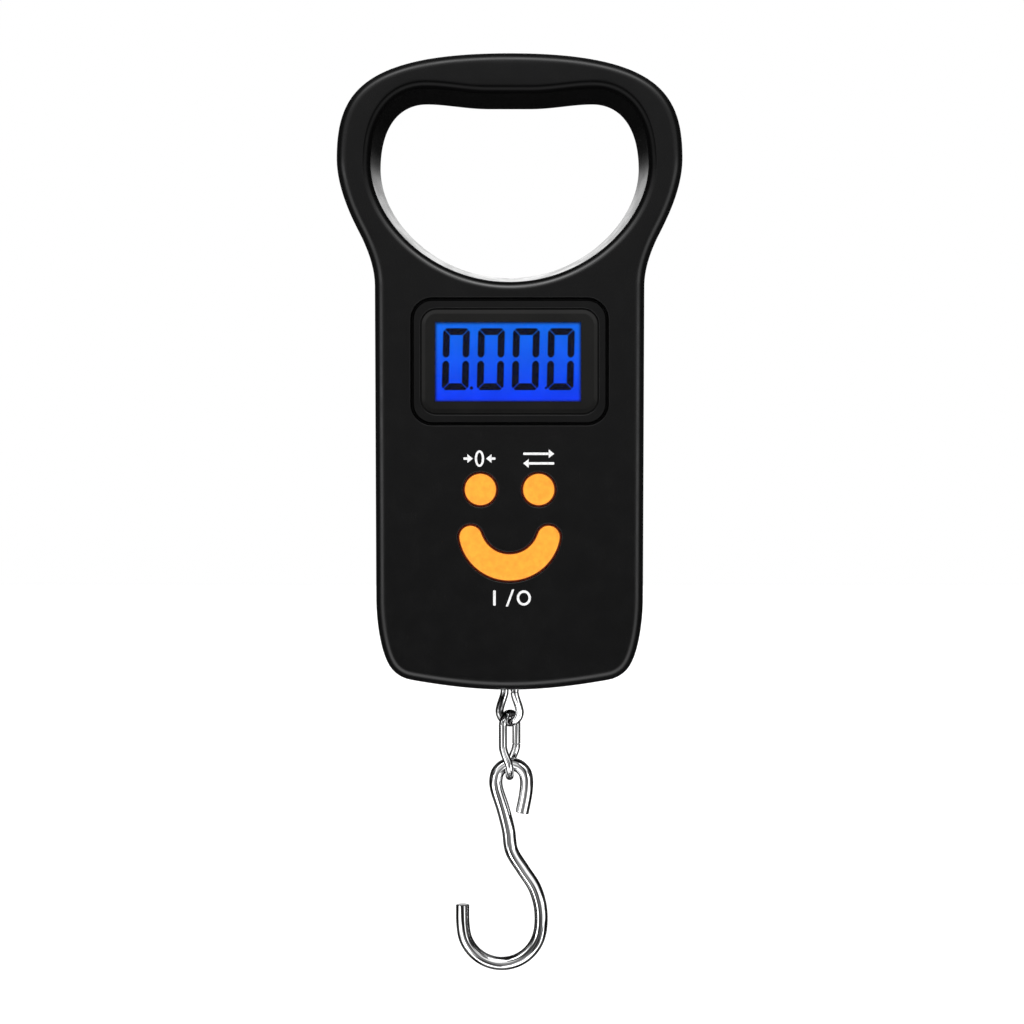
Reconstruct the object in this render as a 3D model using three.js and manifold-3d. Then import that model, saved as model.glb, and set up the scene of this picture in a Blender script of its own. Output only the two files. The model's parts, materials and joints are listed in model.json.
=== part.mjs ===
// A hand-held digital fish scale: a two-shell plastic case with a hand opening, a back-lit display and three
// buttons, and a steel chain and hook that hang from an S-shaped load cell inside the case.
//
// Millimetres. +X is to the right of the display, +Z is up, and the display faces -Y. The origin is on the flat
// back of the case, on its centre line. Depths are given as a distance F in front of that back plane, so F = -Y.

import * as THREE from 'three';
import { mergeVertices } from 'three/addons/utils/BufferGeometryUtils.js';
import Module from 'manifold-3d';

const wasm = await Module();
wasm.setup();

// ---------------------------------------------------------------- driving dimensions

const CASE = { depth: 25, wall: 2.2, fillet: 3, innerFillet: 1.2, seam: 0.1, curveSegments: 6 };
CASE.parting = CASE.depth / 2;
CASE.innerFront = CASE.depth - CASE.wall;

// Right half of the case's outline, bottom centre to top centre: a pair is the end of a straight run, and six
// numbers are the two handles and the end of a cubic curve.
const CASE_START = [0, -52.5];
const CASE_HALF = [
  [9, -52.5, 17.9, -51.25, 24.8, -50],
  [27, -49.6, 28.9, -48.3, 30, -46.6],
  [32.2, -43.2, 33.3, -36, 33.4, -30],
  [33.75, 49],
  [33.9, 53.5, 35.6, 58, 38, 62.6],
  [40.4, 67.2, 43.3, 74, 43.3, 80.5],
  [43.3, 96, 38, 106.75, 0, 106.75],
];

// Right half of the hand opening, bottom centre to the flat pad over the fingers.
const GRIP = { padHalf: 5, padZ: 94.4 };
const OPENING_START = [0, 51.4];
const OPENING_HALF = [
  [18.5, 51.4, 32.8, 66, 32.8, 79],
  [32.8, 90, 28, 95.6, 21, 95.6],
  [16, 95.6, 11, GRIP.padZ, GRIP.padHalf, GRIP.padZ],
];

const LOAD_F = 10; // depth of the vertical line through the load cell, chain and hook

const SURROUND = { width: 49.5, height: 32, corner: 5.5, z: 29.5, depth: 0.4, backing: 0.8 };
const LENS = { width: 44.2, height: 26.2, corner: 3.9, thickness: 1.2, sunk: 0.6, gap: 0.2 };
const WINDOW = { width: 39.5, height: 22.5, corner: 1.5 };
const LCD = { width: 42, bottom: 15.5, top: 42.5, thickness: 2, front: 21.8 };
const HOLDER = { wall: 1.4, gap: 0.3 };

const BUTTON = { proud: 0.5, gap: 0.35, flange: 1.2, flangeThickness: 0.9, slack: 0.1, dome: 0.35 };
const ROUND_BUTTON = { radius: 4, x: 7.25, z: -2.4 };
const CRESCENT = { z: -11.8, radius: 10, halfEnd: 2.9, halfMiddle: 3.35, endAngle: THREE.MathUtils.degToRad(14) };

const BOARD = { halfWidth: 30, bottom: -28, top: 46, back: 15.8, thickness: 1.6, screwX: 27.3, screwZ: [-24, 43.2] };
BOARD.front = BOARD.back + BOARD.thickness;
const SWITCH = { size: 6, height: 3.2, plunger: 1.76, bore: 1.85, boreDepth: 2, plungerLength: 1.8 };

const CASE_SCREWS = [[37.7, 87], [28.6, 53.3], [27, -42]];
const CASE_SCREW = { shank: 1.1, length: 10, head: 2.4, headHeight: 1.6, seatF: 8 };
const CASE_BOSS = { radius: 3.2, well: 2.7, clearance: 1.5, pilot: 1.2, pilotDepth: 8 };
const BOARD_SCREW = { shank: 0.8, length: 5, head: 1.9, headHeight: 1.2 };
const BOARD_BOSS = { radius: 2.7, pilot: 0.95, clearance: 1.2 };

const CELL = { radius: 5.25, length: 44.5, nub: 1.9, nubLength: 1, backF: 2.1 };
const BAY = { halfWidth: 26.5, bottom: 19.4, top: 43.4, floorF: 12.9, wall: 1.4 };
const COVER = { halfWidth: 27.6, bottom: 18.5, top: 44.2, thickness: 1.8, gap: 0.25, pin: 0.6, pinPlay: 0.08 };
COVER.hingeZ = COVER.top - COVER.thickness / 2;
COVER.hingeF = COVER.thickness / 2;
COVER.pinLength = 1.1;
const CONTACT = { thickness: 0.4, width: 8.5, gap: 0.06 };
const CELL_Z = [37.35, 25.45];

const LOAD_CELL = { halfWidth: 14, bottom: -36, top: -4, thickness: 9, slot: 1.5, slotInset: 5, pocket: 5.5, web: 2 };
LOAD_CELL.z = (LOAD_CELL.bottom + LOAD_CELL.top) / 2;
const CROSS_BAR = { halfWidth: 24, bottom: 3, top: 8, halfDepth: 4 };
const BOLT = { radius: 2.5, acrossFlats: 8, head: 3.5, nut: 3, reach: 8, clearance: 0.12 };

// Chain heights are those of the wires' centre lines. Each wire hangs a quarter of a millimetre clear of the next.
const EYE = { radius: 3.4, wire: 1.4, z: -45 };
const LINK = { wire: 1.05, halfWidth: 3.15, height: 16, gap: 0.1 };
LINK.twist = THREE.MathUtils.degToRad(33);
LINK.twistEnds = [-6, 0]; // heights from the middle of a link between which it turns
const UPPER_LINK_TOP = -45.7;
const LOWER_LINK_TOP = -59.35;
const MOUTH = { radius: 6.5 };

const HOOK = { wire: 1.7, eyeX: 0.4, eyeZ: -76.25, eyeRadius: 3.9, bowlX: -2, bowlZ: -113.3, bowlRadius: 9.9 };

// ---------------------------------------------------------------- materials

const finish = (color, roughness, metalness) => new THREE.MeshStandardMaterial({ color, roughness, metalness });
const FINISH = {
  blackPlastic: finish(0x17181a, 0.38, 0),
  orangePlastic: finish(0xffb02e, 0.5, 0),
  clearPlastic: finish(0x2a2c30, 0.05, 0),
  whitePlastic: finish(0xe8e8e2, 0.5, 0),
  backlightBlue: finish(0x0a5cff, 0.4, 0),
  lcdGlass: finish(0x1f5ee0, 0.1, 0),
  rubber: finish(0x3a3a3c, 0.8, 0),
  board: finish(0x1d6b3a, 0.5, 0),
  chip: finish(0x101012, 0.6, 0),
  steel: finish(0xb9bcc0, 0.3, 1),
  chrome: finish(0xe6e8ea, 0.08, 1),
  aluminium: finish(0xc4c7ca, 0.35, 1),
  gaugeFoil: finish(0xd08a3c, 0.5, 0),
  cellJacket: finish(0x2c7a4b, 0.4, 0),
  redWire: finish(0xc0261e, 0.6, 0),
  blackWire: finish(0x1a1a1a, 0.6, 0),
  greyWire: finish(0x8c8f94, 0.6, 0),
};

// ---------------------------------------------------------------- solid tools

/** A manifold-3d solid of a closed three.js geometry. */
function solid(geometry) {
  const bare = geometry.index ? geometry.toNonIndexed() : geometry.clone();
  for (const name of Object.keys(bare.attributes)) if (name !== 'position') bare.deleteAttribute(name);
  const merged = mergeVertices(bare, 1e-4);
  const mesh = new wasm.Mesh({
    numProp: 3,
    vertProperties: merged.attributes.position.array,
    triVerts: new Uint32Array(merged.index.array),
  });
  return new wasm.Manifold(mesh);
}

/** The three.js geometry of a manifold-3d solid. */
function geometryOf(body) {
  const mesh = body.getMesh();
  const geometry = new THREE.BufferGeometry();
  geometry.setAttribute('position', new THREE.BufferAttribute(mesh.vertProperties, mesh.numProp));
  geometry.setIndex(new THREE.BufferAttribute(mesh.triVerts, 1));
  const flat = geometry.toNonIndexed();
  flat.computeVertexNormals();
  return flat;
}

const join = (...bodies) => bodies.reduce((all, body) => all.add(body));
const cut = (body, ...tools) => tools.reduce((left, tool) => left.subtract(tool), body);

/** A box geometry between two corners, its depth range given in front of the back plane. */
function boxBetween([x0, x1], [f0, f1], [z0, z1]) {
  const box = new THREE.BoxGeometry(x1 - x0, f1 - f0, z1 - z0);
  return box.translate((x0 + x1) / 2, -(f0 + f1) / 2, (z0 + z1) / 2);
}
const block = (...ranges) => solid(boxBetween(...ranges));

/** A cylinder geometry whose axis runs from back to front at (x, z). */
function rodForward(x, z, radius, f0, f1, segments = 12) {
  return new THREE.CylinderGeometry(radius, radius, f1 - f0, segments).translate(x, -(f0 + f1) / 2, z);
}

/** A cylinder geometry whose axis is vertical, on the load line. */
function rodUp(radius, z0, z1, segments = 12) {
  const rod = new THREE.CylinderGeometry(radius, radius, z1 - z0, segments);
  return rod.rotateX(Math.PI / 2).translate(0, -LOAD_F, (z0 + z1) / 2);
}

/** A front-view shape extruded from depth f0 to f1. Its edges are rounded, and inset moves its sides inwards. */
function plate(shape, f0, f1, { fillet = 0, inset = 0, steps = 3, curveSegments = 3 } = {}) {
  const geometry = new THREE.ExtrudeGeometry(shape, {
    depth: f1 - f0 - 2 * fillet,
    bevelEnabled: fillet > 0 || inset !== 0,
    bevelThickness: fillet,
    bevelSize: fillet,
    bevelOffset: -fillet - inset,
    bevelSegments: fillet > 0 ? steps : 1,
    curveSegments,
  });
  return geometry.translate(0, 0, f0 + fillet).rotateX(Math.PI / 2);
}

/** A closed path in the front view, symmetrical about x = 0, from the segments of its right half. */
function mirroredPath(path, start, half) {
  const ends = [start, ...half.map((segment) => segment.slice(-2))];
  path.moveTo(...start);
  for (const segment of half) {
    if (segment.length === 2) path.lineTo(...segment);
    else path.bezierCurveTo(...segment);
  }
  const [topX, topZ] = ends.at(-1);
  if (topX > 0) path.lineTo(-topX, topZ);
  for (let i = half.length - 1; i >= 0; i -= 1) {
    const [endX, endZ] = ends[i];
    if (half[i].length === 2) {
      path.lineTo(-endX, endZ);
      continue;
    }
    const [ax, az, bx, bz] = half[i];
    path.bezierCurveTo(-bx, bz, -ax, az, -endX, endZ);
  }
  return path;
}

function roundedRectangle(width, height, corner, z = 0, x = 0) {
  const [right, top] = [width / 2 - corner, height / 2 - corner];
  const shape = new THREE.Shape();
  shape.absarc(x + right, z + top, corner, 0, Math.PI / 2);
  shape.absarc(x - right, z + top, corner, Math.PI / 2, Math.PI);
  shape.absarc(x - right, z - top, corner, Math.PI, 1.5 * Math.PI);
  shape.absarc(x + right, z - top, corner, 1.5 * Math.PI, 2 * Math.PI);
  return shape;
}

const circle = (radius, x = 0, z = 0) => new THREE.Shape().absarc(x, z, radius, 0, 2 * Math.PI);

/** A round wire with flat ends along a curve, with two sides to each curve segment. */
function wireAlong(curve, radius, steps, quarters = 4) {
  return new THREE.ExtrudeGeometry(circle(radius), { steps, extrudePath: curve, curveSegments: quarters });
}

const vector = (x, f, z) => new THREE.Vector3(x, -f, z);

/** The pair of x positions that mirror each other. */
const bothSides = (x) => [x, -x];

const part = new THREE.Group();

function addPart(name, geometry, material, parent = part) {
  const mesh = new THREE.Mesh(geometry, material);
  mesh.name = name;
  parent.add(mesh);
  return mesh;
}

// ---------------------------------------------------------------- case shells

const caseShape = mirroredPath(new THREE.Shape(), CASE_START, CASE_HALF);
caseShape.holes.push(mirroredPath(new THREE.Path(), OPENING_START, OPENING_HALF));

const caseSolid = solid(
  plate(caseShape, 0, CASE.depth, { fillet: CASE.fillet, steps: 2, curveSegments: CASE.curveSegments }),
);
const cavitySolid = solid(
  plate(caseShape, CASE.wall, CASE.innerFront, {
    fillet: CASE.innerFillet,
    inset: CASE.wall,
    steps: 1,
    curveSegments: CASE.curveSegments,
  }),
);

/** Everything between two depths, wide enough to hold the whole case. */
const layer = (f0, f1) => block([-60, 60], [f0, f1], [-80, 120]);
const mouthCutter = () => solid(rodUp(MOUTH.radius, CASE_START[1] - 2, -46, 24));

const caseScrewPlaces = CASE_SCREWS.flatMap(([x, z]) => bothSides(x).map((side) => [side, z]));
const boardScrewPlaces = BOARD.screwZ.flatMap((z) => bothSides(BOARD.screwX).map((side) => [side, z]));

/** The crescent button's outline, grown outwards by a margin. */
function crescent(margin = 0) {
  const reach = Math.PI / 2 - CRESCENT.endAngle;
  const halfWidth = (t) => THREE.MathUtils.lerp(CRESCENT.halfMiddle, CRESCENT.halfEnd, t * t) + margin;
  const at = (radius, turn) => [radius * Math.sin(turn), CRESCENT.z - radius * Math.cos(turn)];
  const stretch = 8;
  const outline = [];
  for (let i = -stretch; i <= stretch; i += 1) {
    const t = i / stretch;
    outline.push(at(CRESCENT.radius + halfWidth(t), t * reach));
  }
  const capSteps = 5;
  const addCap = (side) => {
    const [cx, cz] = at(CRESCENT.radius, side * reach);
    for (let i = 1; i < capSteps; i += 1) {
      const turn = side * reach + side * (i / capSteps) * Math.PI;
      outline.push([cx + halfWidth(1) * Math.sin(turn), cz - halfWidth(1) * Math.cos(turn)]);
    }
  };
  addCap(1);
  for (let i = stretch; i >= -stretch; i -= 1) {
    const t = i / stretch;
    outline.push(at(CRESCENT.radius - halfWidth(t), t * reach));
  }
  const ending = outline.length;
  addCap(-1);
  const leftCap = outline.splice(ending).reverse();
  return new THREE.Shape([...outline, ...leftCap].map(([x, z]) => new THREE.Vector2(x, z)));
}

/** Outline of each button, grown by a margin, with the place of its switch. */
const BUTTONS = {
  zero: { outline: (margin) => circle(ROUND_BUTTON.radius + margin, -ROUND_BUTTON.x, ROUND_BUTTON.z) },
  unit: { outline: (margin) => circle(ROUND_BUTTON.radius + margin, ROUND_BUTTON.x, ROUND_BUTTON.z) },
  power: { outline: crescent },
};
BUTTONS.zero.place = [-ROUND_BUTTON.x, ROUND_BUTTON.z];
BUTTONS.unit.place = [ROUND_BUTTON.x, ROUND_BUTTON.z];
BUTTONS.power.place = [0, CRESCENT.z - CRESCENT.radius];

function frontShell() {
  const half = caseSolid.intersect(layer(CASE.parting + CASE.seam / 2, 40));
  const hollow = half.subtract(cavitySolid);

  const screwBosses = caseScrewPlaces.map(([x, z]) =>
    solid(rodForward(x, z, CASE_BOSS.radius, CASE.parting + CASE.seam / 2, CASE.innerFront + 1)),
  );
  const boardBosses = boardScrewPlaces.map(([x, z]) =>
    solid(rodForward(x, z, BOARD_BOSS.radius, BOARD.front, CASE.innerFront + 1, 10)),
  );
  const windowBacking = solid(
    plate(
      roundedRectangle(SURROUND.width, SURROUND.height, SURROUND.corner, SURROUND.z),
      CASE.innerFront - SURROUND.backing,
      CASE.innerFront + 0.5,
    ),
  );
  const body = join(hollow, ...[...screwBosses, ...boardBosses, windowBacking].map((b) => b.intersect(half)));

  const stepFloor = CASE.depth - SURROUND.depth;
  const pocketFloor = CASE.depth - LENS.sunk - LENS.thickness - 0.05;
  const { z } = SURROUND;
  const displayCuts = [
    plate(roundedRectangle(SURROUND.width, SURROUND.height, SURROUND.corner, z), stepFloor, 30),
    plate(
      roundedRectangle(LENS.width + 2 * LENS.gap, LENS.height + 2 * LENS.gap, LENS.corner + LENS.gap, z),
      pocketFloor,
      30,
    ),
    plate(roundedRectangle(WINDOW.width, WINDOW.height, WINDOW.corner, z), 20, 30),
  ];
  const buttonHoles = Object.values(BUTTONS).map(({ outline }) =>
    plate(outline(BUTTON.gap), 20, 30, { curveSegments: 8 }),
  );
  const pilots = [
    ...caseScrewPlaces.map(([x, z1]) =>
      rodForward(x, z1, CASE_BOSS.pilot, CASE.parting - 1, CASE.parting + CASE_BOSS.pilotDepth, 8),
    ),
    ...boardScrewPlaces.map(([x, z1]) =>
      rodForward(x, z1, BOARD_BOSS.pilot, BOARD.front - 1, CASE.innerFront - 0.4, 8),
    ),
  ];
  return cut(body, ...[...displayCuts, ...buttonHoles, ...pilots].map(solid), mouthCutter());
}

function rearShell() {
  const rearHalf = layer(-5, CASE.parting - CASE.seam / 2);
  const hollow = caseSolid.intersect(rearHalf).subtract(cavitySolid);

  const bayFront = BAY.floorF + BAY.wall;
  const screwPosts = caseScrewPlaces.map(([x, z]) =>
    solid(rodForward(x, z, CASE_BOSS.radius, CASE.wall - 1, CASE.parting - CASE.seam / 2)),
  );
  const bayBox = block(
    [-BAY.halfWidth - BAY.wall, BAY.halfWidth + BAY.wall],
    [CASE.wall - 1, bayFront],
    [BAY.bottom - BAY.wall, BAY.top + BAY.wall],
  );
  // Each end of the cross bar lies in a forked block that is one with the side wall.
  const barForks = bothSides(1).map((side) =>
    block(
      side > 0 ? [20, 32.4] : [-32.4, -20],
      [CASE.wall - 1, CASE.parting - CASE.seam / 2],
      [CROSS_BAR.bottom - 4, CROSS_BAR.top + 2.5],
    ),
  );
  const body = join(hollow, ...[...screwPosts, bayBox, ...barForks].map((b) => b.intersect(caseSolid)));

  const wells = caseScrewPlaces.flatMap(([x, z]) => [
    rodForward(x, z, CASE_BOSS.well, -2, CASE_SCREW.seatF),
    rodForward(x, z, CASE_BOSS.clearance, 5, 14, 8),
  ]);
  const bayHollow = boxBetween([-BAY.halfWidth, BAY.halfWidth], [-2, BAY.floorF], [BAY.bottom, BAY.top]);
  const coverSeat = boxBetween(
    [-COVER.halfWidth - COVER.gap, COVER.halfWidth + COVER.gap],
    [-2, COVER.thickness + 0.1],
    [COVER.bottom - COVER.gap, COVER.top + COVER.gap],
  );
  const hingeHoles = hingePinGeometry(COVER.pin + COVER.pinPlay, COVER.halfWidth + COVER.gap + COVER.pinLength);
  const thumbDish = new THREE.SphereGeometry(12, 20, 10).scale(1, 0.6, 0.9).translate(0, 6, COVER.bottom - 3);
  const barSlot = boxBetween(
    [-CROSS_BAR.halfWidth - 0.2, CROSS_BAR.halfWidth + 0.2],
    [LOAD_F - CROSS_BAR.halfDepth - 0.1, 30],
    [CROSS_BAR.bottom - 0.1, CROSS_BAR.top + 0.1],
  );
  const wireNotches = bothSides(BAY.halfWidth - 3).map((x) =>
    boxBetween([x - 1, x + 1], [BAY.floorF - 1, 20], [BAY.bottom + 2, BAY.bottom + 4]),
  );
  return cut(
    body,
    ...[...wells, bayHollow, coverSeat, hingeHoles, thumbDish, barSlot, ...wireNotches].map(solid),
    mouthCutter(),
  );
}

// ---------------------------------------------------------------- battery cover and cells

/** The axis of the cover's hinge as a rod across the case. */
function hingePinGeometry(radius, halfLength, segments = 12) {
  const rod = new THREE.CylinderGeometry(radius, radius, 2 * halfLength, segments);
  return rod.rotateZ(Math.PI / 2).translate(0, -COVER.hingeF, COVER.hingeZ);
}

function batteryCover() {
  const panel = block(
    [-COVER.halfWidth, COVER.halfWidth],
    [0, COVER.thickness],
    [COVER.bottom, COVER.hingeZ],
  );
  const roundedEdge = solid(hingePinGeometry(COVER.thickness / 2, COVER.halfWidth, 16));
  const pins = solid(hingePinGeometry(COVER.pin, COVER.halfWidth + COVER.pinLength));
  const ribs = [-12, 12].map((x) => block([x - 0.6, x + 0.6], [1, 2.0], [BAY.bottom + 1.5, BAY.bottom + 16]));
  const gripGrooves = [0, 1, 2].map((i) =>
    boxBetween([-9, 9], [-1, 0.4], [COVER.bottom + 2 + 2.2 * i, COVER.bottom + 2.9 + 2.2 * i]),
  );
  return cut(join(panel, roundedEdge, pins, ...ribs), ...gripGrooves.map(solid));
}

/** A AAA cell along X, its positive nub at the left. */
function batteryCell() {
  const { radius, length, nub, nubLength } = CELL;
  const profile = [
    [0, 0],
    [nub, 0],
    [nub, nubLength],
    [radius - 0.5, nubLength],
    [radius, nubLength + 0.5],
    [radius, length - 0.6],
    [radius - 0.6, length],
    [0, length],
  ].map(([r, along]) => new THREE.Vector2(r, along));
  return new THREE.LatheGeometry(profile, 16).rotateZ(-Math.PI / 2);
}

class Helix extends THREE.Curve {
  constructor(startRadius, endRadius, length, turns) {
    super();
    Object.assign(this, { startRadius, endRadius, length, turns });
  }

  getPoint(t, target = new THREE.Vector3()) {
    const radius = THREE.MathUtils.lerp(this.startRadius, this.endRadius, t);
    const turn = t * this.turns * 2 * Math.PI;
    return target.set(t * this.length, radius * Math.cos(turn), radius * Math.sin(turn));
  }
}

function addCells() {
  const wallX = BAY.halfWidth - CONTACT.gap;
  const contactX = wallX - CONTACT.thickness;
  const cellF = CELL.backF + CELL.radius;
  const springWire = 0.35;
  const springLength = 2 * contactX - CELL.length - 4 * CONTACT.gap - 2 * springWire;
  const names = ['upper', 'lower'];
  names.forEach((name, i) => {
    const side = i === 0 ? 1 : -1; // the upper cell's nub points left, the lower one's points right
    const holder = new THREE.Group();
    holder.position.set(0, -cellF, CELL_Z[i]);
    holder.rotation.y = side > 0 ? 0 : Math.PI;
    part.add(holder);

    const cell = addPart(`${name}_battery`, batteryCell(), FINISH.cellJacket, holder);
    cell.position.x = -contactX + CONTACT.gap;

    const helix = new Helix(3.6, 2.4, springLength, 4);
    const spring = addPart(`${name}_battery_spring`, wireAlong(helix, springWire, 44, 3), FINISH.steel, holder);
    spring.rotation.y = Math.PI;
    spring.position.x = contactX - CONTACT.gap - springWire;
  });

  const contactF = [cellF - 4.6, cellF + 4.6];
  const half = CONTACT.width / 2;
  const bridge = boxBetween([-wallX, -contactX], contactF, [CELL_Z[1] - half, CELL_Z[0] + half]);
  addPart('bridge_contact', bridge, FINISH.steel);
  const single = (z) => boxBetween([contactX, wallX], contactF, [z - half, z + half]);
  addPart('spring_contact', single(CELL_Z[0]), FINISH.steel);
  addPart('positive_contact', single(CELL_Z[1]), FINISH.steel);
}

// ---------------------------------------------------------------- display

function addDisplay() {
  const { z } = SURROUND;
  const lensFront = CASE.depth - LENS.sunk;
  const lens = plate(
    roundedRectangle(LENS.width, LENS.height, LENS.corner, z),
    lensFront - LENS.thickness,
    lensFront,
    { fillet: 0.3, steps: 1 },
  );
  addPart('display_lens', lens, FINISH.clearPlastic);

  const half = LCD.width / 2;
  const lcdBack = LCD.front - LCD.thickness;
  addPart('lcd_panel', boxBetween([-half, half], [lcdBack, LCD.front], [LCD.bottom, LCD.top]), FINISH.lcdGlass);

  const stripTop = LCD.bottom + 2.6;
  const lightTop = LCD.top - 0.5;
  const lampX = half - 1.6;
  const lightPlate = boxBetween(
    [-half + 0.5, lampX],
    [BOARD.front + 0.2, lcdBack - 0.15],
    [stripTop + 0.4, lightTop],
  );
  addPart('backlight_plate', lightPlate, FINISH.backlightBlue);
  const lampZ = (stripTop + lightTop) / 2;
  const lamp = boxBetween(
    [lampX + 0.15, lampX + 1.35],
    [BOARD.front + 0.05, lcdBack - 0.3],
    [lampZ - 1.6, lampZ + 1.6],
  );
  addPart('backlight_led', lamp, FINISH.whitePlastic);
  const strip = boxBetween(
    [-half + 2, half - 2],
    [BOARD.front + 0.05, lcdBack - 0.05],
    [LCD.bottom + 0.3, stripTop],
  );
  addPart('connector_strip', strip, FINISH.rubber);

  const inner = half + HOLDER.gap;
  const outer = inner + HOLDER.wall;
  const frame = cut(
    block(
      [-outer, outer],
      [BOARD.front + 0.05, LCD.front],
      [LCD.bottom - HOLDER.gap - HOLDER.wall, LCD.top + HOLDER.gap + HOLDER.wall],
    ),
    block([-inner, inner], [0, 40], [LCD.bottom - HOLDER.gap, LCD.top + HOLDER.gap]),
  );
  addPart('lcd_holder', geometryOf(frame), FINISH.whitePlastic);
}

// ---------------------------------------------------------------- buttons, switches and board

const FLANGE_F = CASE.innerFront - BUTTON.slack - BUTTON.flangeThickness; // back face of a button's flange
const PLUNGER_TIP_F = BOARD.front + SWITCH.height + 0.8;

function buttonCap({ outline, place }) {
  const top = CASE.depth + BUTTON.proud;
  const [x, z] = place;
  const cap = solid(plate(outline(0), FLANGE_F, top, { fillet: BUTTON.dome, steps: 2, curveSegments: 8 }));
  const flange = solid(
    plate(outline(BUTTON.flange), FLANGE_F, FLANGE_F + BUTTON.flangeThickness, { curveSegments: 8 }),
  );
  const stem = solid(rodForward(x, z, 1.6, PLUNGER_TIP_F + 0.02, FLANGE_F + 0.5, 12));
  return join(cap, flange, stem);
}

function switchBody([x, z]) {
  const half = SWITCH.size / 2;
  const front = BOARD.front + SWITCH.height;
  const body = block([x - half, x + half], [BOARD.front + 0.02, front], [z - half, z + half]);
  return cut(body, solid(rodForward(x, z, SWITCH.bore, front - SWITCH.boreDepth, 30, 14)));
}

function addButtons() {
  for (const [name, button] of Object.entries(BUTTONS)) {
    const [x, z] = button.place;
    addPart(`${name}_button`, geometryOf(buttonCap(button)), FINISH.orangePlastic);
    addPart(`${name}_switch`, geometryOf(switchBody(button.place)), FINISH.chip);
    const plunger = rodForward(x, z, SWITCH.plunger, PLUNGER_TIP_F - SWITCH.plungerLength, PLUNGER_TIP_F, 14);
    addPart(`${name}_plunger`, plunger, FINISH.whitePlastic);
  }
}

function addBoard() {
  const height = BOARD.top - BOARD.bottom;
  const outline = roundedRectangle(2 * BOARD.halfWidth, height, 2, (BOARD.top + BOARD.bottom) / 2);
  const holes = boardScrewPlaces.map(([x, z]) =>
    solid(rodForward(x, z, BOARD_BOSS.clearance, 10, 20, 12)),
  );
  const board = cut(solid(plate(outline, BOARD.back, BOARD.front - 0.02, { curveSegments: 1 })), ...holes);
  addPart('main_board', geometryOf(board), FINISH.board);

  const onBoard = BOARD.front + 0.02;
  addPart('controller_chip', boxBetween([-19, -10], [onBoard, onBoard + 1.4], [3.5, 12]), FINISH.chip);
  addPart('crystal', boxBetween([11, 17], [onBoard, onBoard + 2], [8, 10.4]), FINISH.steel);
  addPart('capacitor', rodForward(21, -6, 2, onBoard, onBoard + 4.4, 16), FINISH.chip);

  boardScrewPlaces.forEach(([x, z], i) => {
    const screw = addPart(`board_screw_${i + 1}`, screwGeometry(BOARD_SCREW), FINISH.steel);
    screw.position.set(x, -(BOARD.back - 0.02), z);
  });
}

/** A pan-head cross-recess screw. Its head's underside is at the origin and its shank points to the front. */
function screwGeometry({ shank, length, head, headHeight }) {
  const profile = [
    [0, headHeight],
    [head * 0.7, headHeight],
    [head, headHeight * 0.5],
    [head, 0],
    [shank, 0],
    [shank, -length + 1.2],
    [0, -length],
  ].reverse();
  const points = profile.map(([r, along]) => new THREE.Vector2(r, along));
  const body = solid(new THREE.LatheGeometry(points, 10));
  const arm = head * 0.6;
  const recess = [
    [2 * arm, shank * 0.5],
    [shank * 0.5, 2 * arm],
  ].map(([w, d]) => solid(new THREE.BoxGeometry(w, headHeight * 1.2, d).translate(0, headHeight, 0)));
  return geometryOf(cut(body, ...recess));
}

// ---------------------------------------------------------------- load cell and chain

function hexPrism(z0, z1) {
  const radius = BOLT.acrossFlats / 2 / Math.cos(Math.PI / 6);
  return solid(rodUp(radius, z0, z1, 6));
}

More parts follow.
